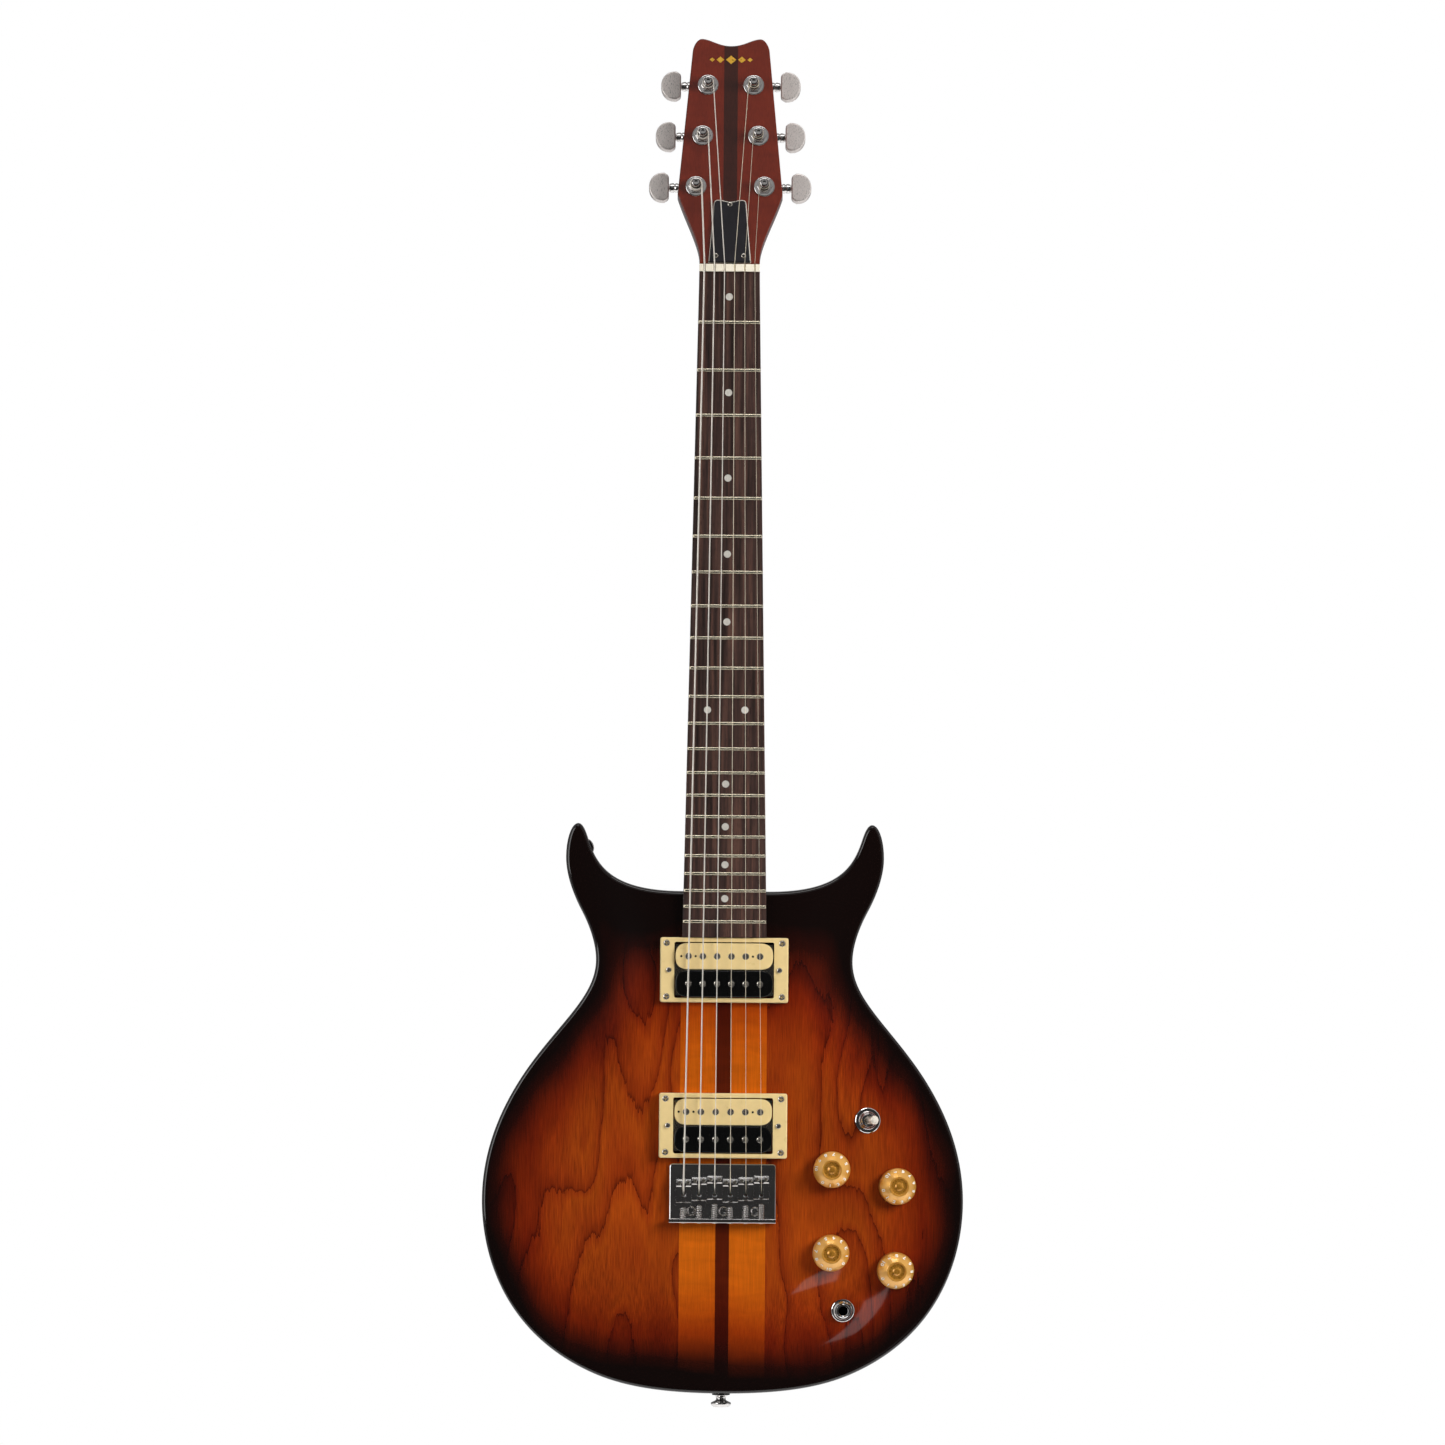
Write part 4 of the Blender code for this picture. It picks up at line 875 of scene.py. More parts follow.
class Frets(Grower):
    """Lays fretwire across the board at equal-tempered places and bends it over the crown."""

    def __init__(self) -> None:
        """Builds the tree: point n is fret n + 1, at the scale over two to the power of (n + 1) / 12."""
        sizes = ("Bridge", "Scale", "Top", "Radius", "Width", "Taper")
        super().__init__("frets across a board", {**{s: float for s in sizes}, "Piece": Thing})
        given = self.inputs
        index = self.node("GeometryNodeInputIndex")[0]
        number = self.maths("ADD", index, 1.0)
        part = self.maths("POWER", 2.0, self.maths("DIVIDE", number, 12.0))
        along = self.maths("DIVIDE", given["Scale"], part)
        place = self.node("ShaderNodeCombineXYZ", {2: self.maths("ADD", given["Bridge"], along)})
        moved = self.node("GeometryNodeSetPosition", {"Geometry": given["Points"], "Position": place[0]})
        gone = self.maths("SUBTRACT", given["Scale"], along)
        width = self.maths("ADD", given["Width"], self.maths("MULTIPLY", gone, given["Taper"]))
        stretch = self.node("ShaderNodeCombineXYZ", {0: width, 1: 1.0, 2: 1.0})
        wire = self.node("GeometryNodeObjectInfo", {"Object": given["Piece"]})["Geometry"]
        inputs = {"Points": moved[0], "Instance": wire, "Scale": stretch[0]}
        frets = self.node("GeometryNodeInstanceOnPoints", inputs)
        real = self.node("GeometryNodeRealizeInstances", {0: frets[0]})
        spot = self.node("ShaderNodeSeparateXYZ", {0: self.node("GeometryNodeInputPosition")[0]})
        square = self.maths("POWER", given["Radius"], 2.0)
        chord = self.maths("SQRT", self.maths("SUBTRACT", square, self.maths("POWER", spot[0], 2.0)))
        fall = self.maths("SUBTRACT", given["Radius"], chord)
        shift = self.node("ShaderNodeCombineXYZ", {1: self.maths("ADD", given["Top"], fall)})
        self.end(self.node("GeometryNodeSetPosition", {"Geometry": real[0], "Offset": shift[0]})[0])

    def maths(self, operation: str, a: Any, b: Any = 0.0) -> Socket:
        """Adds one sum."""
        return self.node("ShaderNodeMath", {0: a, 1: b}, operation=operation)[0]


class Springs(Grower):
    """Winds wire in an open helix up Z."""

    def __init__(self) -> None:
        """Builds the tree."""
        sizes = {"Radius": float, "Length": float, "Turns": float, "Wire": float}
        super().__init__("helical spring", sizes)
        given = self.inputs
        inputs = {
            "Resolution": 16,
            "Rotations": given["Turns"],
            "Start Radius": given["Radius"],
            "End Radius": given["Radius"],
            "Height": given["Length"],
        }
        helix = self.node("GeometryNodeCurveSpiral", inputs)
        section = self.node("GeometryNodeCurvePrimitiveCircle", {"Resolution": 8, "Radius": given["Wire"]})
        inputs = {"Curve": helix[0], "Profile Curve": section[0], "Fill Caps": True}
        self.end(self.node("GeometryNodeCurveToMesh", inputs)[0])

    def wind(self, radius: float, length: float, turns: float, wire: float, finish: Finish) -> Mesh:
        """Winds one spring from the origin up Z."""
        empty = bpy.data.meshes.new("none")
        return self.grow(empty, finish, radius=radius, length=length, turns=turns, wire=wire)


class Wires(Grower):
    """Sweeps a round section along a line of points."""

    def __init__(self) -> None:
        """Builds the tree."""
        super().__init__("round wire", {"Thick": float})
        line = self.node("GeometryNodeMeshToCurve", {"Mesh": self.inputs["Points"]})
        section = self.node(
            "GeometryNodeCurvePrimitiveCircle", {"Resolution": 10, "Radius": self.inputs["Thick"]}
        )
        inputs = {"Curve": line[0], "Profile Curve": section[0], "Fill Caps": True}
        self.end(self.node("GeometryNodeCurveToMesh", inputs)[0])

    def sweep(self, route: Sequence[Vector], radius: float, finish: Finish) -> Mesh:
        """Makes one wire along a route."""
        line = bpy.data.meshes.new("line")
        line.from_pydata([tuple(p) for p in route], [(i, i + 1) for i in range(len(route) - 1)], [])
        return self.grow(line, finish, thick=radius)


@dataclass
class Fastener:
    """A screw's head, domed or flat, with a recess for the driver.

    Sizes are in metres; the head stands on Z = 0.
    """

    radius: float
    height: float
    drive: Drive = Drive.CROSS
    dome: float = 0.7
    recess: float = 0.0011
    arm: float = 0.0003

    def mesh(self) -> Mesh:
        """Makes the head with its recess cut."""
        r, h = self.radius, self.height
        side = h * (1 - self.dome)
        profile = [(0, 0), (r, 0), (r, side)]
        profile += [
            (r * math.cos(a), side + (h - side) * math.sin(a))
            for a in (math.pi / 2 * i / 6 for i in range(1, 6))
        ]
        return worked(turned([*profile, (0, h)], 24), cut=[self.tool()])

    def tool(self) -> Mesh:
        """Makes the solid that the recess is cut with."""
        low, high = self.height - self.recess, self.height * 1.5
        reach = self.radius * (1.2 if self.drive is Drive.SLOT else 0.62)
        arm = self.arm
        if self.drive is Drive.SLOT:
            return prism(rectangle(reach, arm), low, high)
        quarter = [(reach, -arm), (reach, arm), (arm, arm)]
        plan = []
        for turn in range(4):
            for x, y in quarter:
                for _ in range(turn):
                    x, y = -y, x
                plan.append((x, y))
        return prism(plan, low, high)


# The guitar


@dataclass
class Setout:
    """Lengths and places that the sub-assemblies share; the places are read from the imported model."""

    joints: dict[str, dict[str, Any]]
    scale: float = 0.62865
    nut_thickness: float = 0.0055
    head_angle: float = math.radians(14)
    head_thickness: float = 0.014
    board_radius: float = 0.305
    board_thickness: float = 0.0060
    nut_spacing: float = 0.00704
    bridge_spacing: float = 0.0108
    nut_height: float = 0.0016
    bridge_height: float = 0.0105
    thicknesses: tuple[float, ...] = (0.00117, 0.00091, 0.00066, 0.00043, 0.00033, 0.00025)
    gap: float = 0.0003
    tail: float = 0.0097
    hole_back: float = 0.0145

    def __post_init__(self) -> None:
        """Reads the places."""
        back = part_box("body_wing_bass")[1].y
        self.front, self.back = -back, back
        self.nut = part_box("nut")[0].z
        self.bridge = self.nut - self.scale
        self.board_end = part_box("fretboard")[0].z
        self.nut_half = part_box("nut")[1].x
        self.end_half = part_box("fretboard")[1].x
        self.board_top = self.front - self.gap - self.board_thickness
        foot = at(0, self.front, self.nut + self.nut_thickness)
        self.head_frame = foot @ about("X", math.pi / 2 - self.head_angle)
        self.front_frame = at(0, self.front, 0) @ about("X", math.pi / 2)
        self.back_frame = at(0, self.back, 0) @ about("X", -math.pi / 2)

    def board_half(self, z: float) -> float:
        """Gives half the fretboard's width at a height."""
        share = (self.nut - z) / (self.nut - self.board_end)
        return self.nut_half + (self.end_half - self.nut_half) * share

    def crown(self, x: float) -> float:
        """Gives how far the crowned board falls at this distance from the middle."""
        return self.board_radius - math.sqrt(self.board_radius**2 - x * x)

    def string_place(self, i: int, z: float) -> Vector:
        """Gives the centre of string i over the neck and body."""
        nut_x, bridge_x = ((i - 2.5) * s for s in (self.nut_spacing, self.bridge_spacing))
        share = (self.nut - z) / self.scale
        nut_y = self.board_top - self.nut_height + self.crown(nut_x)
        bridge_y = self.front - self.bridge_height + self.crown(bridge_x)
        y = nut_y + (bridge_y - nut_y) * share - self.thicknesses[i] / 2
        return Vector((nut_x + (bridge_x - nut_x) * share, y, z))

    def side(self, i: int) -> Side:
        """Gives the side that string i's tuner is on."""
        return Side.BASS if i < 3 else Side.TREBLE

    def post(self, i: int) -> Vector:
        """Gives the foot of string i's post in the headstock's frame."""
        return self.head_frame.inverted() @ Vector(self.joints[f"tuner_{STRINGS[i]}_spool"]["pos_m"])


@dataclass
class Body:
    """The beam's stretch through the body and the two wings: one plan, cut along the glue lines."""

    setout: Setout
    bout: tuple[float, float] = (0.1675, 0.1340)
    waist: tuple[float, float] = (0.0893, 0.3015)
    horn: tuple[float, float] = (0.1107, 0.3730)
    tip: tuple[float, float] = (0.1025, 0.3965)
    cutaway: float = 0.3495
    arch: float = 0.0080
    arch_start: float = 0.45
    arch_end: float = 0.95
    rim: float = 0.0030
    rim_steps: int = 7
    grid: float = 0.0042
    heel: float = 0.050
    neck_depths: tuple[float, float] = (0.0150, 0.0175)
    head_length: float = 0.1627
    head_dip: float = 0.0051
    head_peak: float = 0.0205
    head_top: float = 0.0268
    head_cheek: tuple[float, float] = (0.0366, 0.0500)
    head_edge: float = 0.0009
    cavity_floor: float = 0.0115
    cover: float = 0.0020
    ledge: float = 0.0060
    burst_softness: float = 0.007
    burst_top: float = 0.442
    window: tuple[float, float] = (0.0347, 0.0195)
    pocket: float = 0.0200
    post_bore: float = 0.0042

    def __post_init__(self) -> None:
        """Draws the plan."""
        self.core = self.setout.end_half + 0.0007
        half = self.half_plan()
        mirrored = [Vector((-p.x, p.y)) for p in reversed(half)]
        middle = [half[-1].lerp(mirrored[0], i / 18) for i in range(1, 18)]
        self.plan = half + middle + mirrored[:-1]
        tip = max(range(len(half)), key=lambda i: half[i].y)
        self.flank = np.array([(p.x, p.y) for p in half[: tip + 1]])

    def knots(self) -> list[tuple[Vector, float, float, float]]:
        """Gives the treble half of the plan, from the tail to the neck: place, heading and two handles."""
        bout, waist, horn, tip = (Vector(p) for p in (self.bout, self.waist, self.horn, self.tip))
        return [
            (Vector((0, 0)), 0, 0, 0.515),
            (Vector((0.541 * bout.x, 0.106 * bout.y)), 24.0, 0.220, 0.508),
            (bout, 90, 0.216, 0.363),
            (bout.lerp(waist, 0.59) + Vector((0.0097, 0)), 127.0, 0.328, 0.443),
            (waist, 90, 0.289, 0.331),
            (waist.lerp(horn, 0.478), 62.0, 0.300, 0.284),
            (horn, 90, 0.337, 0.522),
            (tip, 180, 0.181, 0.260),
            (tip + Vector((-0.0072, -0.0115)), 252, 0.370, 0.269),
            (Vector((self.core, self.cutaway)), 180, 0.646, 0),
        ]

    def half_plan(self) -> list[Vector]:
        """Gives the treble half of the plan as points."""
        knots = self.knots()
        points = []
        for (a, turn_a, _, out), (b, turn_b, into, _) in zip(knots, knots[1:]):
            span = (b - a).length
            ways = [Vector((math.cos(math.radians(t)), math.sin(math.radians(t)))) for t in (turn_a, turn_b)]
            count = max(8, round(span / 0.0025))
            points += interpolate_bezier(
                a, a + ways[0] * out * span, b - ways[1] * into * span, b, count
            )[:-1]
        points.append(knots[-1][0])
        return [Vector((p.x, p.y + self.setout.tail)) for p in points]

    def drop(self, x: Any, z: Any) -> Any:
        """Gives how far the arched front lies below its crown, for numbers or arrays."""
        centre = self.setout.tail + self.bout[1]
        halves = np.maximum(self.core, np.interp(z, self.flank[:, 1], self.flank[:, 0]))
        low = np.hypot(x / self.bout[0], (z - centre) / self.bout[1])
        share = np.where(z < centre, low, np.abs(x) / halves)
        s = np.clip((share - self.arch_start) / (self.arch_end - self.arch_start), 0, 1)
        return self.arch * s * s * (3 - 2 * s)

    def depth(self, points: np.ndarray) -> np.ndarray:
        """Gives each point's distance from the plan's outline."""
        rim = np.array([tuple(p) for p in self.plan])
        following = np.roll(rim, -1, axis=0)
        way = following - rim
        length = (way**2).sum(1)
        nearest = np.full(len(points), np.inf)
        for start in range(0, len(points), 2000):
            part = points[start : start + 2000, None, :] - rim[None]
            along = np.clip((part * way).sum(2) / length, 0, 1)
            away = part - along[:, :, None] * way
            nearest[start : start + 2000] = np.sqrt((away**2).sum(2)).min(1)
        return nearest

    def spots(self, inner: list[Vector]) -> list[Vector]:
        """Fills the plan inside its rim with points on a grid of triangles."""
        edge = np.array([tuple(p) for p in inner])
        low, high = edge.min(0), edge.max(0)
        made = []
        for row, z in enumerate(np.arange(low[1], high[1], self.grid * 0.866)):
            first = low[0] + (row % 2) * self.grid / 2
            made += [(x, z) for x in np.arange(first, high[0], self.grid)]
        spots = np.array(made)
        a, b = edge, np.roll(edge, -1, axis=0)
        crossed = np.zeros(len(spots), int)
        for (x0, z0), (x1, z1) in zip(a, b):
            if z0 == z1:
                continue
            over = (z0 > spots[:, 1]) != (z1 > spots[:, 1])
            crossed += over & (spots[:, 0] < x0 + (x1 - x0) * (spots[:, 1] - z0) / (z1 - z0))
        kept = spots[crossed % 2 == 1]
        return [Vector(p) for p in kept[self.depth(kept) > self.rim + self.grid * 0.5]]

    def slab(self) -> Mesh:
        """Makes the whole body: arched front, flat back and rounded rims."""
        rings, points, faces = [], [], []
        turns = [math.pi / 2 * i / (self.rim_steps - 1) for i in range(self.rim_steps)]
        levels = [(self.rim * (1 - math.cos(t)), self.rim * (1 - math.sin(t))) for t in turns]
        for is_front, steps in ((False, levels[::-1]), (True, levels)):
            for inward, fall in steps:
                loop = inset(self.plan, inward)
                rings.append(range(len(points), len(points) + len(loop)))
                for p in loop:
                    y = self.setout.front + float(self.drop(p.x, p.y)) + fall
                    points.append((p.x, y if is_front else self.setout.back - fall, p.y))
        count = len(self.plan)
        for low, high in zip(rings, rings[1:]):
            faces += [(low[i], low[(i + 1) % count], high[(i + 1) % count], high[i]) for i in range(count)]
        inner = inset(self.plan, self.rim)
        spots = inner + self.spots(inner)
        found, _, triangles, sources, _, _ = delaunay_2d_cdt(spots, [], [range(count)], 1, 1e-8)
        for is_front, loop in ((True, rings[-1]), (False, rings[0])):
            start = len(points)
            for p in found:
                y = self.setout.front + float(self.drop(p.x, p.y))
                points.append((p.x, y if is_front else self.setout.back, p.y))
            faces += [tuple(start + i for i in face) for face in triangles]
        return mesh_from(points, faces)

    def cut_from(self, slab: Mesh, low: float, high: float) -> Mesh:
        """Saws out what lies between two values of X and closes the sawn faces."""
        bm = bmesh.new()
        bm.from_mesh(slab)
        for x, way in ((low, -1), (high, 1)):
            if abs(x) > self.bout[0]:
                continue
            geom = [*bm.verts, *bm.edges, *bm.faces]
            bmesh.ops.bisect_plane(
                bm, geom=geom, dist=1e-7, plane_co=(x, 0, 0), plane_no=(way, 0, 0), clear_outer=True
            )
            edges = [e for e in bm.edges if e.is_boundary]
            bmesh.ops.contextual_create(bm, geom=edges)
        bmesh.ops.recalc_face_normals(bm, faces=bm.faces)
        made = bpy.data.meshes.new("shape")
        bm.to_mesh(made)
        bm.free()
        return made

    def control_frame(self, x: float, z: float) -> Matrix:
        """Gives a frame on the front with Z along its normal."""
        step = 0.001
        slope_x = float(self.drop(x + step, z) - self.drop(x - step, z)) / (2 * step)
        slope_z = float(self.drop(x, z + step) - self.drop(x, z - step)) / (2 * step)
        normal = Vector((slope_x, -1, slope_z)).normalized()
        across = (Vector((1, 0, 0)) - normal * normal.x).normalized()
        turn = Matrix((across, normal.cross(across), normal)).transposed().to_4x4()
        return at(x, self.setout.front + float(self.drop(x, z)), z) @ turn

    def neck(self) -> Mesh:
        """Makes the neck's round back, from the nut to deep in the body."""
        top, heel = self.setout.nut, self.setout.tail + self.cutaway + self.heel
        sections = [self.neck_section(top + self.setout.nut_thickness, self.setout.nut_half, 0.0140)]
        thin, thick = self.neck_depths
        for i in range(13):
            share = 0.03 + 0.97 * i / 12
            z = top + (heel - top) * share
            sections.append(self.neck_section(z, self.setout.board_half(z), thin + (thick - thin) * share))
        full = 2 * self.setout.back - self.rim
        for i in range(1, 13):
            along = 1.4 * i / 12
            share = min(1.0, along / 1.15)
            share = share * share * (3 - 2 * share)
            z = heel - self.heel * along
            sections.append(self.neck_section(z, self.setout.board_half(z), thick + (full - thick) * share))
        return loft(sections)

    def neck_section(self, z: float, half: float, depth: float) -> list[tuple[float, float, float]]:
        """Gives one section: flat under the fretboard, round behind."""
        loop = []
        for i in range(29):
            angle = math.pi * i / 28
            across = math.copysign(abs(math.cos(angle)) ** 0.8, math.cos(angle))
            loop.append((half * across, self.setout.front + depth * math.sin(angle) ** 0.9, z))
        return loop

    def head(self) -> Mesh:
        """Makes the headstock, leaning back from the nut."""
        cheek, half = Vector(self.head_cheek), self.setout.nut_half
        neck = Vector((half, cheek.y * 0.08))
        flare = interpolate_bezier(
            neck, neck + Vector((0.0005, 0.012)), cheek + Vector((-0.0050, -0.0160)), cheek, 18
        )
        top = Vector((self.head_top, self.head_length - self.head_dip - 0.0035))
        peak, dip = Vector((self.head_peak, self.head_length)), Vector((0, self.head_length - self.head_dip))
        shoulder = interpolate_bezier(
            top, top + Vector((-0.0006, 0.0040)), peak + Vector((0.0030, 0)), peak, 10
        )
        scoop = interpolate_bezier(peak, peak - Vector((0.0060, 0)), dip + Vector((0.0090, 0)), dip, 14)
        right = [Vector((half, 0)), *flare, *shoulder, *scoop[1:-1]]
        plan = [*right, dip, *(Vector((-p.x, p.y)) for p in reversed(right))]
        head = prism(plan, -self.setout.head_thickness, 0, self.head_edge)
        return placed(head, self.setout.head_frame)

    def pocket_tool(self, ring: str) -> Mesh:
        """Makes the cutter for the pocket under a pickup, with room for its ears."""
        low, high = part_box(ring)
        x, y = (w + 0.0010 for w in self.window)
        ear_x, ear_y = self.window[0] + 0.0078, 0.0055
        quarter = [(x, y), (x, ear_y), (ear_x, ear_y)]
        plan = [(a, b) for a, b in quarter] + [(a, -b) for a, b in reversed(quarter)]
        plan += [(-a, -b) for a, b in quarter] + [(-a, b) for a, b in reversed(quarter)]
        place = at(0, 0, (low.z + high.z) / 2)
        return placed(prism(plan[::-1], -self.pocket, 0.01), place, self.setout.front_frame)

    def control_plan(self, margin: float) -> list[Vector]:
        """Gives the control cavity's outline from behind, where up runs the other way."""
        low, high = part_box("control_cover")
        grow = margin - self.ledge
        x0, x1, z0, z1 = low.x - grow, high.x + grow, low.z - grow, high.z + grow
        slope = 0.020
        corners = [
            (x0, z0), (x1 - 1.3 * slope, z0), (x1, z0 + 1.4 * slope), (x1, z1 - 1.4 * slope),
            (x1 - slope, z1), (x0, z1),
        ]
        return [Vector((x, -z)) for x, z in reversed(eased(corners, 0.008, 6))]

    def burst(self, mesh: Mesh) -> None:
        """Writes how deep each point lies inside the sprayed rim, and where the neck's stain starts."""
        count = len(mesh.vertices)
        spots = np.empty(count * 3, np.float32)
        mesh.vertices.foreach_get("co", spots)
        spots = spots.reshape(-1, 3).astype(float)
        plan = spots[:, [0, 2]]
        limits = [
            self.depth(plan),
            0.5 * (self.setout.nut - self.burst_top - plan[:, 1]),
            0.75 * (plan[:, 1] - self.setout.tail),
        ]
        soft = self.burst_softness
        depth = -soft * np.log(sum(np.exp(-np.clip(limit, -0.1, 0.3) / soft) for limit in limits))
        depth = depth + soft * 0.35
        heel = self.setout.tail + self.cutaway
        stain = np.clip((plan[:, 1] - heel - 0.006) / 0.060, 0, 1) * (
            np.abs(plan[:, 0]) < self.head_cheek[0] + MM
        )
        stain = stain * stain * (3 - 2 * stain)
        depth = np.where(stain > 0, np.maximum(depth, stain * 0.1), depth)
        for name, values in (("burst", depth), ("stain", stain)):
            attribute = mesh.attributes.new(name, "FLOAT", "POINT")
            attribute.data.foreach_set("value", values.astype(np.float32))

    def string_holes(self) -> list[Mesh]:
        """Makes the cutters for the strings' holes through the body."""
        tools = []
        for i in range(len(STRINGS)):
            x = self.setout.string_place(i, self.setout.bridge).x
            place = at(x, 0, self.setout.bridge - self.setout.hole_back)
            drill = [
                (0, -0.05), (0.0033, -0.05), (0.0033, -0.0402), (0.0015, -0.0402), (0.0015, 0.002),
                (0, 0.002),
            ]
            tools.append(placed(turned(drill, 20), place, self.setout.front_frame))
        return tools

    def seats(self) -> list[Mesh]:
        """Makes the cutters for the pots, the switch and the jack: a bore and a level seat."""
        tools = []
        for joint, part in self.setout.joints.items():
            if joint.endswith("_turn"):
                tools.append((part["pos_m"][0], part["pos_m"][2], 0.0073))
        for node, seat in (("selector_switch", 0.0091), ("output_jack", 0.0083)):
            low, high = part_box(node)
            tools.append(((low.x + high.x) / 2, (low.z + high.z) / 2, seat))
        made = []
        for x, z, seat in tools:
            profile = [(0, -0.0145), (0.0051, -0.0145), (0.0051, 0), (seat, 0), (seat, 0.006), (0, 0.006)]
            made.append(placed(turned(profile, 32), self.control_frame(x, z)))
        return made

    def build(self) -> None:
        """Makes the beam and the wings, with the control cavity and the recess for its cover."""
        slab = self.slab()
        tools = [self.pocket_tool(ring) for ring in ("pickup_ring_neck", "pickup_ring_bridge")]
        beam = self.cut_from(slab, -self.core, self.core)
        posts = []
        for i in range(len(STRINGS)):
            post = self.setout.post(i)
            hole = rod(self.post_bore, -0.02, 0.004, 24)
            posts.append(placed(hole, self.setout.head_frame, at(post.x, post.y, 0)))
        holes = self.string_holes()
        beam = worked(beam, [self.neck(), self.head()], [self.rod_channel(), *tools, *posts, *holes])
        self.burst(beam)
        finished("neck_beam", beam, BEAM_WOOD, "guitar", ["neck_through"], sharp=45)
        bass = self.cut_from(slab, -1, -self.core + HAIR)
        treble = self.cut_from(slab, self.core - HAIR, 1)
        cavity = prism(self.control_plan(0), self.front_to_floor(), 0.002)
        recess = prism(self.control_plan(self.ledge + self.setout.gap), -self.cover - self.setout.gap, 0.002)
        hollow = [placed(tool, self.setout.back_frame) for tool in (cavity, recess)]
        bass = worked(bass, cut=[*tools, *holes])
        treble = worked(treble, cut=[*tools, *holes, *hollow, *self.seats()])
        for name, wing in (("bass", bass), ("treble", treble)):
            self.burst(wing)
            finished(
                f"wing_{name}", wing, WING_WOOD, "guitar", [f"body_wing_{name}"], sharp=45
            )

    def front_to_floor(self) -> float:
        """Gives the cavity floor's height in the frame of the back."""
        return self.setout.front + self.cavity_floor - self.setout.back

    def rod_channel(self) -> Mesh:
        """Makes the cutter for the truss rod's channel."""
        half = 0.0039
        low = (-half, self.setout.front - 0.002, self.setout.tail + self.cutaway)
        high = (half, self.setout.front + 0.007 + half, self.setout.nut + self.setout.nut_thickness + 0.014)
        plan = [(low[0], low[1]), (high[0], low[1]), (high[0], high[1]), (low[0], high[1])]
        return prism(plan, low[2], high[2])


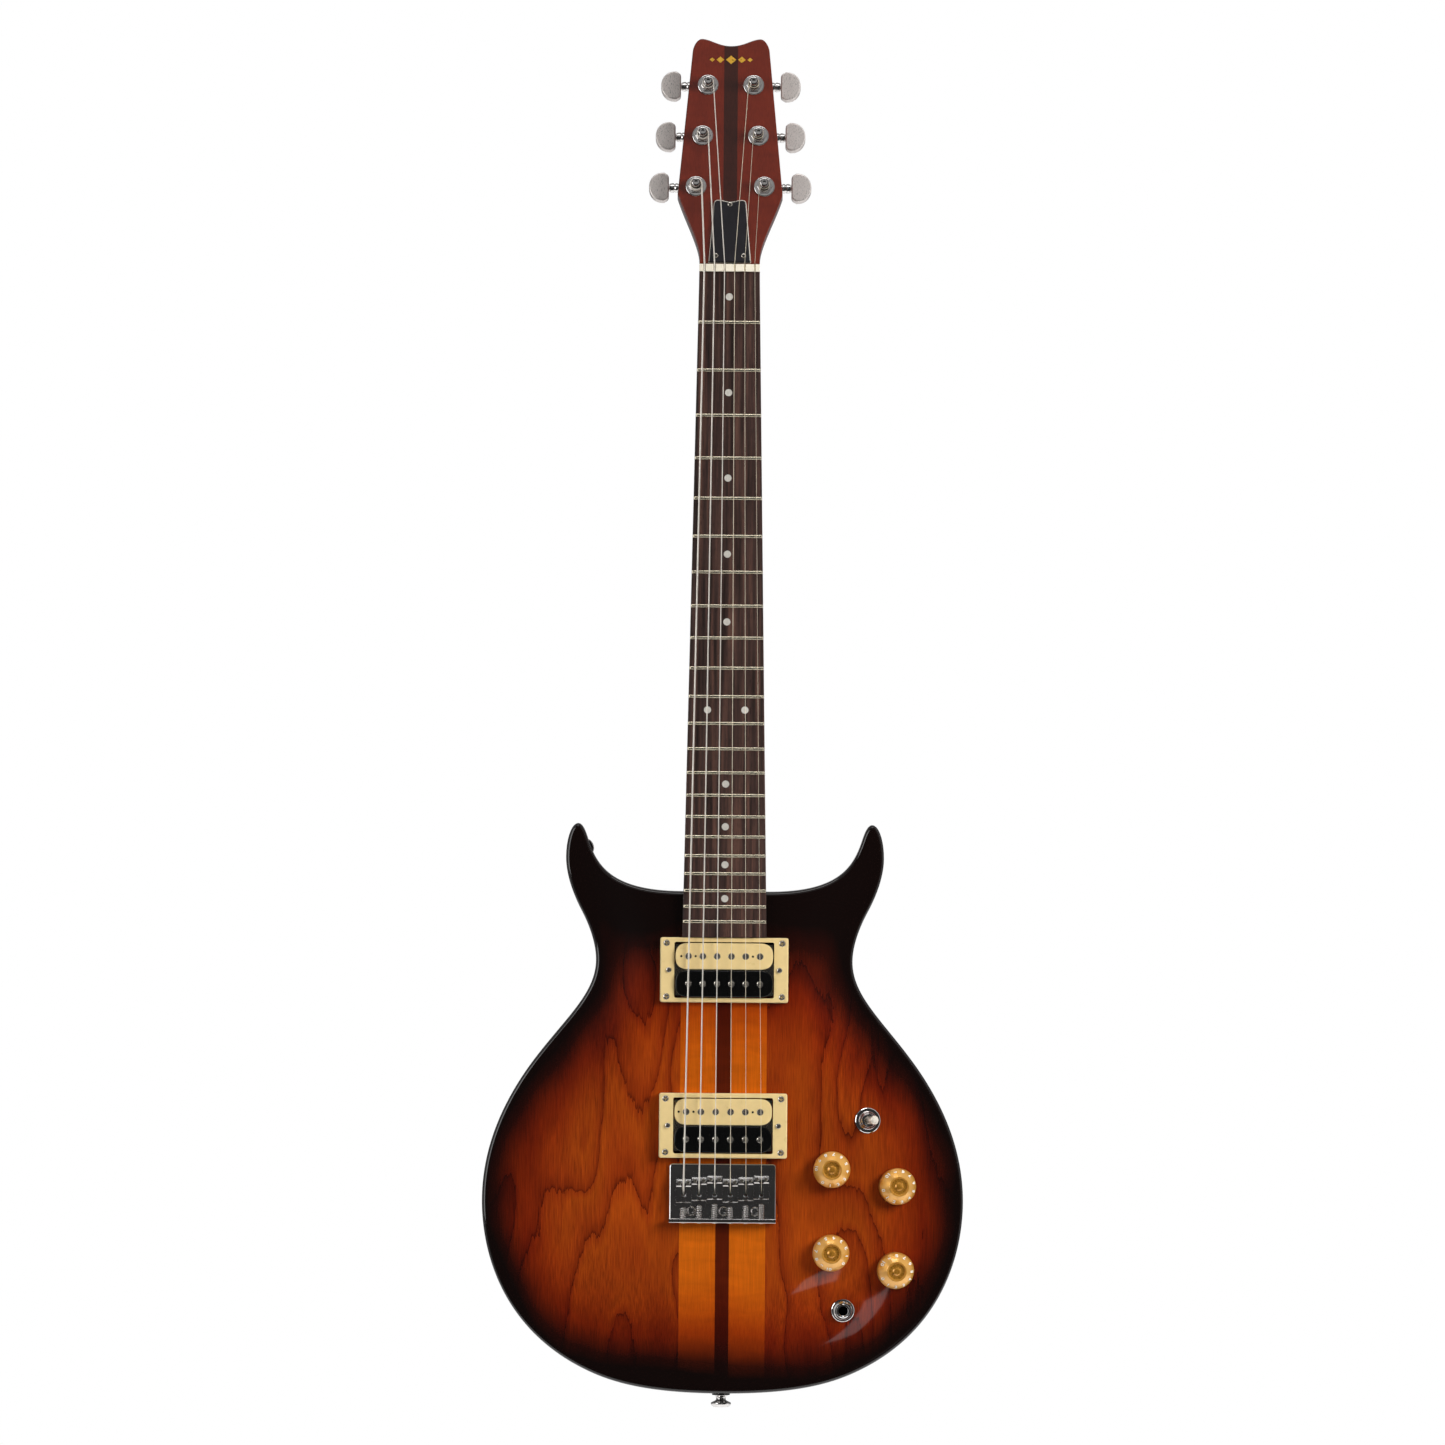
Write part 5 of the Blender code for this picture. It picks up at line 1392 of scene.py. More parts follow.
@dataclass
class Fretboard:
    """The rosewood board, its fretwire and dots, and the nut at its head."""

    setout: Setout
    count: int = 22
    dotted: tuple[int, ...] = (1, 3, 5, 7, 9, 15, 17, 19, 21)
    paired: int = 12
    pair_half: float = 0.0130
    dot: float = 0.0025
    wire_half: float = 0.0011
    wire_height: float = 0.0010
    edge: float = 0.0004

    def fret(self, number: int) -> float:
        """Gives a fret's height up the neck; number 0 is the nut."""
        return self.setout.bridge + self.setout.scale / 2 ** (number / 12)

    def build(self) -> None:
        """Makes every piece on the board."""
        self.board()
        self.wire()
        self.dots()
        self.nut()

    def board(self) -> None:
        """Planes the board to its crown."""
        sections = []
        for z in (self.setout.nut - self.setout.gap, self.setout.board_end):
            half = self.setout.board_half(z)
            top = [
                (half * x, self.setout.board_top + self.setout.crown(half * x))
                for x in np.linspace(-1, 1, 15)
            ]
            foot = self.setout.front - self.setout.gap
            corners = [(half, foot), (-half, foot), *top]
            eases = [0, 0, self.edge, *[0] * (len(top) - 2), self.edge]
            sections.append([(p.x, p.y, z) for p in eased(corners, eases, 3)])
        finished("board", loft(sections), ROSEWOOD, "guitar", ["fretboard"])

    def wire(self) -> None:
        """Hammers in the frets."""
        section = [(self.wire_half, 0.0003)]
        for i in range(9):
            turn = math.pi * i / 8
            section.append((self.wire_half * math.cos(turn), -self.wire_height * math.sin(turn) ** 0.7))
        section.append((-self.wire_half, 0.0003))
        ends = [(-1.0, 0.1), (-0.985, 0.75), (-0.965, 1.0)]
        middle = [(x, 1.0) for x in np.linspace(-0.9, 0.9, 13)]
        stations = [*ends, *middle, *((-x, share) for x, share in reversed(ends))]
        master = loft([[(x, y * share if y < 0 else y, z) for z, y in section] for x, share in stations])
        seats = mesh_from([(i * 0.01, 0, 0) for i in range(self.count)], [])
        holder = bpy.data.objects.new("wire", master)
        setout = self.setout
        taper = (setout.end_half - setout.nut_half) / (setout.nut - setout.board_end)
        frets = Frets().grow(
            seats,
            FRETWIRE,
            bridge=setout.bridge,
            scale=setout.scale,
            top=setout.board_top,
            radius=setout.board_radius,
            width=setout.nut_half - 0.0001,
            taper=taper,
            piece=holder,
        )
        bpy.data.objects.remove(holder)
        finished("fretwire", frets, FRETWIRE, "guitar", sharp=60)

    def dots(self) -> None:
        """Sets the dots in the face and the small ones in the player's edge."""
        face, edge = [], []
        for number in sorted((*self.dotted, self.paired)):
            z = (self.fret(number) + self.fret(number - 1)) / 2
            spread = (-self.pair_half, self.pair_half) if number == self.paired else (0.0,)
            for x in spread:
                tilt = math.asin(x / self.setout.board_radius)
                y = self.setout.board_top + self.setout.crown(x)
                turn = about("X", math.pi / 2) @ about("Y", tilt)
                face.append(at(x, y, z) @ turn)
            for shift in (-0.003, 0.003) if number == self.paired else (0.0,):
                place = (-self.setout.board_half(z + shift), self.setout.board_top + 0.0027, z + shift)
                edge.append(Matrix.Translation(place) @ about("Y", -math.pi / 2))
        for name, radius, frames in (("face_dots", self.dot, face), ("side_dots", 0.001, edge)):
            disc = turned([(0, -0.0005), (radius, -0.0005), (radius, 0.00004), (0, 0.00004)], 28)
            repeated(name, disc, frames, PEARL, "guitar")

    def nut(self) -> None:
        """Files the nut, with a slot for each string."""
        setout = self.setout
        top, half_width = setout.board_top - setout.nut_height - 0.0009, setout.nut_half
        foot = setout.front - setout.gap
        outline = [(-half_width, foot), (half_width, foot), (half_width, top + setout.crown(half_width))]
        for i in reversed(range(len(STRINGS))):
            place = setout.string_place(i, setout.nut)
            half = setout.thicknesses[i] / 2 + setout.gap
            floor, mouth = place.y + half, top + setout.crown(place.x)
            outline += [
                (place.x + half * 1.3, mouth), (place.x + half, mouth + 0.0003),
                (place.x + half, floor - half * 0.6), (place.x + half * 0.6, floor),
                (place.x - half * 0.6, floor), (place.x - half, floor - half * 0.6),
                (place.x - half, mouth + 0.0003), (place.x - half * 1.3, mouth),
            ]
        outline.append((-half_width, top + setout.crown(half_width)))
        bar = prism(outline, setout.nut, setout.nut + setout.nut_thickness - setout.gap)
        finished("nut_bone", worked(bar, bevel=0.00025, steps=2), BONE, "guitar", ["nut"])


@dataclass
class Strings:
    """The six strings, from their ball ends through the body and bridge to the posts, and their ferrules."""

    setout: Setout
    plate_top: float = 0.0027
    wrap_height: float = 0.0075
    wrap_turns: float = 2.25
    post: float = 0.0030

    def route(self, i: int) -> list[Vector]:
        """Gives the line that string i follows."""
        setout = self.setout
        hole = setout.bridge - setout.hole_back
        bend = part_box(f"saddle_{STRINGS[i]}")[1].z - 0.003 - 0.0014 - 0.0025 - setout.gap
        over = setout.string_place(i, bend)
        plate = Vector((over.x, setout.front - self.plate_top, hole))
        rise = over.lerp(plate, 0.12)
        knee = [rise * (1 - t) ** 2 + over * 2 * t * (1 - t) + (over + Vector((0, 0, 0.0008))) * t * t
                for t in (0.0, 0.25, 0.5, 0.75, 1.0)]
        back = Vector((over.x, setout.back - 0.0100, hole))
        nut = [setout.string_place(i, setout.nut + d) for d in (0, setout.nut_thickness + 0.0005)]
        return [back, plate, *knee, *nut, *self.wraps(i)]

    def wraps(self, i: int) -> list[Vector]:
        """Gives the turns of string i down its post."""
        post, side, thick = self.setout.post(i), self.setout.side(i).value, self.setout.thicknesses[i]
        radius = self.post + thick / 2 + self.setout.gap
        points = []
        for step in range(int(self.wrap_turns * 24) + 1):
            turns = step / 24
            angle = math.tau * turns
            height = self.wrap_height - thick / 2 - (thick + self.setout.gap) * turns
            spot = Vector(
                (post.x - side * radius * math.cos(angle), post.y + radius * math.sin(angle), height)
            )
            points.append(self.setout.head_frame @ spot)
        return points

    def build(self) -> None:
        """Makes the strings, their ball ends and the ferrules."""
        wires = Wires()
        ends, cups = [], []
        for i, string in enumerate(STRINGS):
            finish, slot = (WOUND_STRING, "wound_string") if i < 3 else (PLAIN_STRING, "plain_string")
            route = self.route(i)
            wire = wires.sweep(route, self.setout.thicknesses[i] / 2, finish)
            finished(f"wire_{string}", wire, finish, "guitar", [f"string_{string}"], sharp=60)
            ends.append(Matrix.Translation(route[0]) @ about("X", -math.pi / 2))
            cups.append(at(route[0].x, self.setout.back, route[0].z) @ ends[-1].to_3x3().to_4x4())
        ball = turned(
            eased([(0, -0.0018), (0.0013, -0.0018), (0.0013, 0.0018), (0, 0.0018)], 0.0005, closed=False),
            20,
        )
        repeated("ball_ends", ball, ends, NICKEL, "guitar")
        cup = ring(eased([(0.0016, -0.0037), (0.0031, -0.0037), (0.0031, 0), (0.0042, 0), (0.0042, 0.0008),
                          (0.0016, 0.0008)], [0, 0, 0, 0, 0.0006, 0.0006]), 32)
        repeated("ferrules", cup, cups, CHROME, "guitar")


@dataclass
class Headstock:
    """What is on the headstock's face besides the tuners: the rod's cover and a gold ornament."""

    setout: Setout
    top_half: float = 0.0112
    foot_half: float = 0.0148
    length: float = 0.0465
    thickness: float = 0.0020
    ornament_rise: float = 0.1475
    lozenges: tuple[float, ...] = (0.0018, 0.0027, 0.0036, 0.0027, 0.0018)
    lozenge_gap: float = 0.0012

    def build(self) -> None:
        """Makes the cover, its screws and the ornament."""
        frame, gap = self.setout.head_frame, self.setout.gap
        top = self.length - 0.0004
        corners = [
            (-self.foot_half, gap), (self.foot_half, gap), (self.top_half, top - 0.0012),
            (self.top_half * 0.72, top), (0, top - 0.0022), (-self.top_half * 0.72, top),
            (-self.top_half, top - 0.0012),
        ]
        plan = eased(corners, [0.0004, 0.0004, 0.0022, 0.0040, 0.0050, 0.0040, 0.0022], 6)
        edge = prism(plan, gap, self.thickness * 0.66, 0.0002)
        finished(
            "rod_cover_edge", placed(edge, frame), PLY_PLASTIC, "guitar",
            ["truss_rod_cover"],
        )
        face = prism(inset(plan, 0.0006), self.thickness * 0.5, self.thickness + gap, 0.0003)
        finished("rod_cover_face", placed(face, frame), COVER_PLASTIC, "guitar")
        places = ((0, 0.0423), (0.0097, 0.0052), (-0.0097, 0.0052))
        frames = [frame @ at(x, y, self.thickness + gap) for x, y in places]
        repeated("rod_cover_screws", Fastener(0.0017, 0.0008).mesh(), frames, NICKEL, "guitar")
        self.ornament()

    def ornament(self) -> None:
        """Lays a row of gold lozenges, widest in the middle."""
        across = -(sum(self.lozenges) + self.lozenge_gap * (len(self.lozenges) - 1) / 2)
        pieces = []
        for half in self.lozenges:
            across += half
            tall = half * 0.85
            plan = [(across - half, 0), (across, -tall), (across + half, 0), (across, tall)]
            pieces.append(prism(plan, -0.0001, 0.00005))
            across += half + self.lozenge_gap
        place = at(0, self.ornament_rise, 0)
        leaf = placed(gathered(pieces), self.setout.head_frame, place)
        finished("ornament", leaf, GOLD_FOIL, "guitar")


@dataclass
class Tuner:
    """One sealed tuner: housing, bushing, post and half-moon button."""

    setout: Setout
    index: int
    post_radius: float = 0.0030
    post_height: float = 0.0125
    housing: tuple[float, float, float] = (0.0075, 0.0090, 0.0090)
    worm: tuple[float, float, float] = (0.0040, 0.0048, 0.0015)
    string_bore: float = 0.0008
    near: float = 0.0189
    button: tuple[float, float, float] = (0.0139, 0.0102, 0.0038)

    def build(self) -> None:
        """Makes the tuner's pieces on their three bodies."""
        name = f"tuner_{STRINGS[self.index]}"
        post = self.setout.post(self.index)
        frame = self.setout.head_frame @ at(post.x, post.y, 0)
        foot = -self.setout.head_thickness - self.setout.gap
        side = self.setout.side(self.index).value
        offset, depth, shaft = self.worm
        turn = about("Y", side * math.pi / 2)
        worm = frame @ at(0, offset, foot - depth) @ turn
        self.make_post(name, frame, foot)
        self.make_housing(name, frame, worm, foot)
        self.make_button(name, worm, shaft)
        self.make_bushing(name, frame)

    def make_post(self, name: str, frame: Matrix, foot: float) -> None:
        """Turns the slotted post and drills it for the string."""
        r, top = self.post_radius, self.post_height
        pin = r * 0.55
        profile = [
            (0, foot - 0.0075), (pin, foot - 0.0075), (pin, foot + 0.001), (r, foot + 0.001), (r, 0.0037),
            (r * 0.84, 0.0050), (r * 0.8, 0.0062), (r * 0.84, 0.0076), (r, 0.0090), (r, top - 0.0006),
            (r * 0.95, top - 0.0002), (r * 0.84, top), (r * 0.46, top), (r * 0.42, top - 0.0004),
            (r * 0.40, top - 0.0026), (0, top - 0.0026),
        ]
        hole = rod(self.string_bore, -0.006, 0.006, 16)
        across = at(0, 0, 0.0084) @ about("Y", math.pi / 2)
        post = worked(turned(profile, 40), cut=[placed(hole, across)])
        finished(f"{name}_spindle", placed(post, frame), CHROME, f"{name}_post", [f"{name}_post"])

    def make_housing(self, name: str, frame: Matrix, worm: Matrix, foot: float) -> None:
        """Casts the housing with its collar and its fixing lug."""
        half, tall, deep = self.housing
        over = at(0, 0, foot) @ about("X", math.pi)
        centre = -self.worm[0] / 2
        block = prism(eased(rectangle(half, tall, 0, centre), 0.0045, 6), 0, deep, 0.0016, 5)
        lug = prism(eased(rectangle(0.0042, 0.0060, 0, centre + tall), 0.0035, 5), 0, 0.0018, 0.0004)
        case = gathered([placed(block, frame, over), placed(lug, frame, over)])
        finished(f"{name}_case", case, CHROME, "guitar", [f"{name}_housing"])
        end, bore = self.near - 0.0006, self.worm[2] + 0.0004
        corners = [(bore, half - 0.001), (bore + 0.0018, half - 0.001), (bore + 0.0018, half + 0.0018)]
        for step in range(3):
            z = half + 0.0018 + step * 0.0026
            corners += [(bore + 0.0009, z + 0.0002), (bore + 0.0009, z + 0.0007), (bore + 0.0014, z + 0.0011),
                        (bore + 0.0014, z + 0.0022)]
        corners += [(bore + 0.0010, end), (bore, end)]
        finished(f"{name}_collar", placed(ring(corners, 28), worm), CHROME, "guitar", sharp=50)
        place = over @ at(0, centre + tall + 0.0032, 0.0018)
        screw = placed(Fastener(0.0022, 0.0010).mesh(), frame, place)
        finished(f"{name}_screw", screw, NICKEL, "guitar")

    def make_button(self, name: str, worm: Matrix, shaft: float) -> None:
        """Casts the half-moon button on its shaft."""
        length, tall, half = self.button
        outline = [Vector((self.near, tall * 0.80)), Vector((self.near, -tall * 0.80))]
        for step in range(33):
            angle = -math.pi / 2 + math.pi * step / 32
            along = self.near + length * (0.24 + 0.76 * max(0.0, math.cos(angle)) ** 0.8)
            outline.append(Vector((along, tall * math.sin(angle))))
        eases = [0.0022, 0.0022, *[0.0] * 33]
        plan = eased(outline, eases, 6)
        levels = []
        for step in range(6):
            turn = math.pi / 2 * step / 5
            levels.append((half - 0.0011 * (1 - math.sin(turn)), 0.0011 * (1 - math.cos(turn))))
        sections = [(-height, depth) for height, depth in reversed(levels)] + levels
        blade = loft([[(*p, height) for p in inset(plan, depth)] for height, depth in sections])
        lay = Matrix(((0, 0, 1, 0), (0, 1, 0, 0), (-1, 0, 0, 0), (0, 0, 0, 1))).inverted()
        neck = [(0, -0.004), (shaft, -0.004), (shaft, self.near - 0.0004), (0.0026, self.near - 0.0003),
                (0.0030, self.near + 0.002), (0, self.near + 0.002)]
        knob = gathered([placed(blade, worm, lay), placed(turned(neck, 24), worm)])
        finished(f"{name}_knob", knob, PEARL_CHROME, f"{name}_button", [f"{name}_button"], sharp=50)

    def make_bushing(self, name: str, frame: Matrix) -> None:
        """Turns the washer and the hexagon bushing on the headstock's face."""
        bore = self.post_radius + 0.0002
        washer = ring(
            eased([(bore, 0.0001), (0.0072, 0.0001), (0.0072, 0.0011), (bore, 0.0014)], [0, 0, 0.0007, 0]),
            48,
        )
        flats = hexagon(0.0057, 0.0010, 0.0030, 0.0004)
        boss = turned(eased([(0, 0.0012), (0.0047, 0.0012), (0.0047, 0.0036), (0, 0.0036)], [0, 0, 0.0005, 0],
                            closed=False), 40)
        hole = rod(bore, 0, 0.006, 32)
        nut = worked(flats, add=[boss], cut=[hole])
        finished(f"{name}_bushing", placed(gathered([washer, nut]), frame), CHROME, "guitar")


@dataclass
class Bridge:
    """The chromed plate with its lip, six saddles and what holds and moves them."""

    setout: Setout
    half: float = 0.0371
    front: float = 0.0081
    back: float = 0.0332
    plate: float = 0.0024
    lip: tuple[float, float] = (0.0090, 0.0030)
    corner: float = 0.0028
    fixings: tuple[float, ...] = (-0.0216, 0.0006, 0.0228)
    fixing_back: float = 0.0252
    wall: float = 0.0048
    slot: tuple[float, float] = (0.0022, 0.0130)
    crest: float = 0.0014
    heel: float = 0.0020
    nose: float = 0.0030
    grub: float = 0.0013
    axis: float = 0.0036
    screw_bore: float = 0.00105
    thread: tuple[float, float] = (0.0009, 0.00072)

    def build(self) -> None:
        """Makes the plate and the saddles."""
        self.make_plate()
        springs = Springs()
        for i in range(len(STRINGS)):
            self.make_saddle(i, springs)

    def make_plate(self) -> None:
        """Bends and plates the base, and screws it down."""
        gap, low, high = self.setout.gap, self.setout.bridge - self.back, self.setout.bridge + self.front
        plan = eased([(-self.half, low), (self.half, low), (self.half, high), (-self.half, high)],
                     [0.0002, 0.0002, self.corner, self.corner], 8)
        base = prism(plan, gap, gap + self.plate, 0.0011, 5)
        tall, thick = self.lip
        lip = eased([(low, gap), (low + thick, gap), (low + thick, gap + tall), (low, gap + tall)],
                    [0, 0, 0.0007, 0.0010], 5)
        wall = loft([[(x, z, y) for z, y in lip] for x in (-self.half, self.half)])
        drills = []
        for i in range(len(STRINGS)):
            place = self.setout.string_place(i, self.setout.bridge)
            back = self.setout.bridge - self.setout.hole_back
            drills.append(placed(rod(0.0015, -0.001, 0.006), at(place.x, back, 0)))
        base = worked(base, add=[wall], cut=drills)
        finished(
            "bridge_base", placed(base, self.setout.front_frame), CHROME, "guitar",
            ["bridge_plate"],
        )
        height = gap + self.plate
        frames = [self.setout.front_frame @ at(x, self.setout.bridge - self.fixing_back, height)
                  for x in self.fixings]
        screw = Fastener(0.0034, 0.0013, dome=0.9, recess=0.0009, arm=0.0005)
        repeated("bridge_screws", screw.mesh(), frames, CHROME, "guitar")

    def make_saddle(self, i: int, springs: Springs) -> None:
        """Makes one saddle, its grub screws, its intonation screw and the spring between it and the lip."""
        setout, string = self.setout, STRINGS[i]
        crest_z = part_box(f"saddle_{string}")[1].z - self.nose
        place = setout.string_place(i, crest_z)
        crest = setout.front - (place.y + setout.thicknesses[i] / 2 + setout.gap)
        half = (setout.bridge_spacing - 0.0006) / 2
        frame = at(place.x, 0, crest_z) @ setout.front_frame
        rear = -self.crest - self.slot[1] - self.heel
        floor = crest - self.wall
        side = [
            (rear, floor), (self.nose, floor), (self.nose, crest - 0.0014),
            (self.nose - 0.0012, crest - 0.0006), (0.0008, crest - 0.0002), (0.0, crest),
            (-self.crest, crest), (-0.0019, crest - 0.0009), (-0.0022, crest - 0.0014),
            (rear + 0.0038, crest - 0.0014), (rear + 0.0030, crest - 0.0023), (rear, crest - 0.0023),
        ]
        block = loft([[(x, along, up) for along, up in side] for x in (-half, half)])
        long = self.slot[1] - 0.0022
        window = prism(
            eased(
                rectangle(self.slot[0] - 0.0004, long / 2, 0, -self.crest - 0.0008 - long / 2), 0.0017, 6
            ),
            floor - 0.001,
            crest + 0.001,
        )
        sockets, grubs = [], []
        for x in (-half + self.grub + 0.0008, half - self.grub - 0.0008):
            bore = rod(self.grub + 0.0003, crest - 0.006, crest + 0.001)
            sockets.append(placed(bore, at(x, 0.0004, 0)))
            foot, top = 2 * setout.gap + self.plate, crest - 0.0007
            profile = [(0, foot), (self.grub * 0.6, foot), (self.grub, foot + 0.0004)]
            for step in range(int((top - foot - 0.0008) / 0.0005)):
                z = foot + 0.0005 + step * 0.0005
                profile += [(self.grub, z), (self.grub - 0.00018, z + 0.00025)]
            profile += [(self.grub, top - 0.0001), (self.grub - 0.0002, top), (0, top)]
            key = hexagon(0.0007, top - 0.0012, top + 0.001)
            grubs.append(placed(worked(turned(profile, 20), cut=[key]), at(x, 0.0004, 0)))
        bore = rod(self.screw_bore, rear - 0.001, rear + 0.0046)
        along = at(0, 0, crest - self.axis) @ about("X", -math.pi / 2)
        body = worked(worked(block, cut=[window, *sockets, placed(bore, along)]), bevel=0.0005, steps=2)
        finished(f"saddle_block_{string}", placed(body, frame), CHROME, f"saddle_{string}",
                 [f"saddle_{string}"], sharp=30)
        finished(
            f"saddle_grubs_{string}", placed(gathered(grubs), frame), NICKEL, f"saddle_{string}"
        )
        axis = crest - self.axis
        lip_front = setout.bridge - self.back + self.lip[1]
        start = at(place.x, setout.front - axis, lip_front)
        length = crest_z + rear - lip_front
        self.make_screw(string, start, length)
        wound = springs.wind(0.0021, length - 0.0004, max(4.0, round(length / 0.0014)), 0.00032, CHROME)
        low = start.translation + Vector((0, 0, 0.0002))
        high = start.translation + Vector((0, 0, length - 0.0002))
        finished(f"saddle_spring_{string}", placed(wound, Matrix.Translation(low)), CHROME,
                 ("guitar", f"saddle_{string}"), sharp=60, span=(low, high))

    def make_screw(self, string: str, start: Matrix, length: float) -> None:
        """Threads the intonation screw through the lip into the saddle."""
        end = -self.lip[1] - 0.0003
        crest, root = self.thread
        head = [(0, 0), (0.0022, 0), (0.0024, 0.0002), (0.0024, 0.0006), (crest, 0.0008)]
        profile = [(radius, end + z) for radius, z in head]
        reach = length + 0.0012
        for step in range(int(reach / 0.0006)):
            z = step * 0.0006
            profile += [(crest, z), (root, z + 0.0003)]
        profile += [(root, reach), (0, reach)]
        cross = Fastener(0.0024, 0.0003, recess=0.0009).tool()
        under = at(0, 0, -self.lip[1]) @ about("X", math.pi)
        screw = worked(turned(profile, 20), cut=[placed(cross, under)])
        finished(f"saddle_screw_{string}", placed(screw, start), NICKEL, "guitar", sharp=25)


@dataclass
class Pickup:
    """A humbucker with a cream and a black bobbin, and the surround that it hangs in."""

    setout: Setout
    place: str
    pitch: float
    window: tuple[float, float] = (0.0347, 0.0195)
    clearance: float = 0.0008
    thick: float = 0.0100
    flange: float = 0.0016
    ring_corner: float = 0.0018
    black_sunk: float = 0.0010
    screw_spots: tuple[float, float] = (0.0402, 0.01865)
    height_spot: float = 0.0385

    def build(self) -> None:
        """Makes the surround and the two coils."""
        low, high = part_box(f"pickup_ring_{self.place}")
        self.middle = (low.z + high.z) / 2
        self.half = (high.x, (high.z - low.z) / 2)
        self.top = self.setout.front - low.y
        self.frame = at(0, 0, self.middle) @ self.setout.front_frame
        self.make_ring()
        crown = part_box(f"pickup_{self.place}_bobbin_cream")
        self.crown = self.setout.front - crown[0].y
        half_y = (self.window[1] - self.clearance * 1.5) / 2
        for colour, side in (("cream", 1), ("black", -1)):
            self.make_bobbin(colour, side, half_y)

    def make_ring(self) -> None:
        """Moulds the surround and screws it down."""
        plan = eased(rectangle(*self.half), self.ring_corner, 6)
        block = prism(plan, self.setout.gap, self.top, 0.0010, 5)
        hole = prism(eased(rectangle(*self.window), 0.0016, 5), -0.002, self.top + 0.002)
        frames, bores = [], []
        far_x, far_y = self.screw_spots
        for x in (-far_x, far_x):
            for y in (-far_y, far_y):
                frames.append(self.frame @ at(x, y, self.top - 0.0004))
                sink = turned(
                    [
                        (0, self.top - 0.0004),
                        (0.0021, self.top - 0.0004),
                        (0.0027, self.top + 0.0002),
                        (0.0027, self.top + 0.002),
                        (0, self.top + 0.002),
                    ],
                    24,
                )
                bores.append(placed(sink, at(x, y, 0)))
        levels = [
            self.frame @ at(x, 0, self.top) for x in (-self.height_spot, self.height_spot)
        ]
        made = worked(block, cut=[hole, *bores])
        finished(f"surround_{self.place}", placed(made, self.frame), CREAM_PLASTIC, "guitar",
                 [f"pickup_ring_{self.place}"], sharp=32)
        screw = Fastener(0.0022, 0.0009, arm=0.00035)
        repeated(f"surround_screws_{self.place}", screw.mesh(), frames, NICKEL, "guitar")
        screw = Fastener(0.0019, 0.0013, dome=0.5, arm=0.0004)
        repeated(f"height_screws_{self.place}", screw.mesh(), levels, NICKEL, f"pickup_{self.place}")

    def make_bobbin(self, colour: str, side: int, half_y: float) -> None:
        """Moulds a bobbin, winds it and sets its six poles."""
        body = f"pickup_{self.place}"
        half_x, centre = self.window[0] - self.clearance, side * (half_y + self.clearance / 2)
        plan = eased(rectangle(half_x, half_y, 0, centre), half_y * 0.99, 14)
        foot = self.crown - self.thick
        upper = prism(plan, self.crown - self.flange, self.crown, 0.0006, 4)
        lower = prism(plan, foot, foot + self.flange)
        low, high = self.crown - 0.003, self.crown + 0.001
        spots = [(k - 2.5) * self.pitch for k in range(6)]
        tools = [placed(rod(0.0024, low, high, 24), at(x, centre, 0)) for x in spots]
        if colour == "cream":
            for x in (-3 * self.pitch, -2 * self.pitch, 2 * self.pitch):
                tools.append(placed(rod(0.0008, low, high, 16), at(x, centre, 0)))
        upper = worked(upper, cut=tools)
        finish, slot = BLACK_PLASTIC, "black_plastic"
        if colour == "cream":
            finish, slot = CREAM_PLASTIC, "cream_plastic"
        finished(
            f"bobbin_{colour}_{self.place}", placed(gathered([upper, lower]), self.frame), finish, body,
            [f"{body}_bobbin_{colour}"], sharp=32,
        )
        coil = prism(inset(plan, 0.0011), foot + self.flange - 0.0002, self.crown - self.flange + 0.0002)
        finished(f"coil_{colour}_{self.place}", placed(coil, self.frame), COIL_TAPE, body)
        sunk = 0.0 if colour == "cream" else self.black_sunk
        frames = [self.frame @ at(x, centre, self.crown - sunk) for x in spots]
        if colour == "cream":
            slug = turned(
                eased(
                    [(0, -0.004), (0.00235, -0.004), (0.00235, 0.00015), (0, 0.00015)],
                    [0, 0, 0.0003, 0],
                    closed=False,
                ),
                28,
            )
        else:
            slug = Fastener(0.0025, 0.0013, Drive.SLOT, dome=0.75, recess=0.0007, arm=0.00035).mesh()
        repeated(f"poles_{colour}_{self.place}", slug, frames, NICKEL, body)


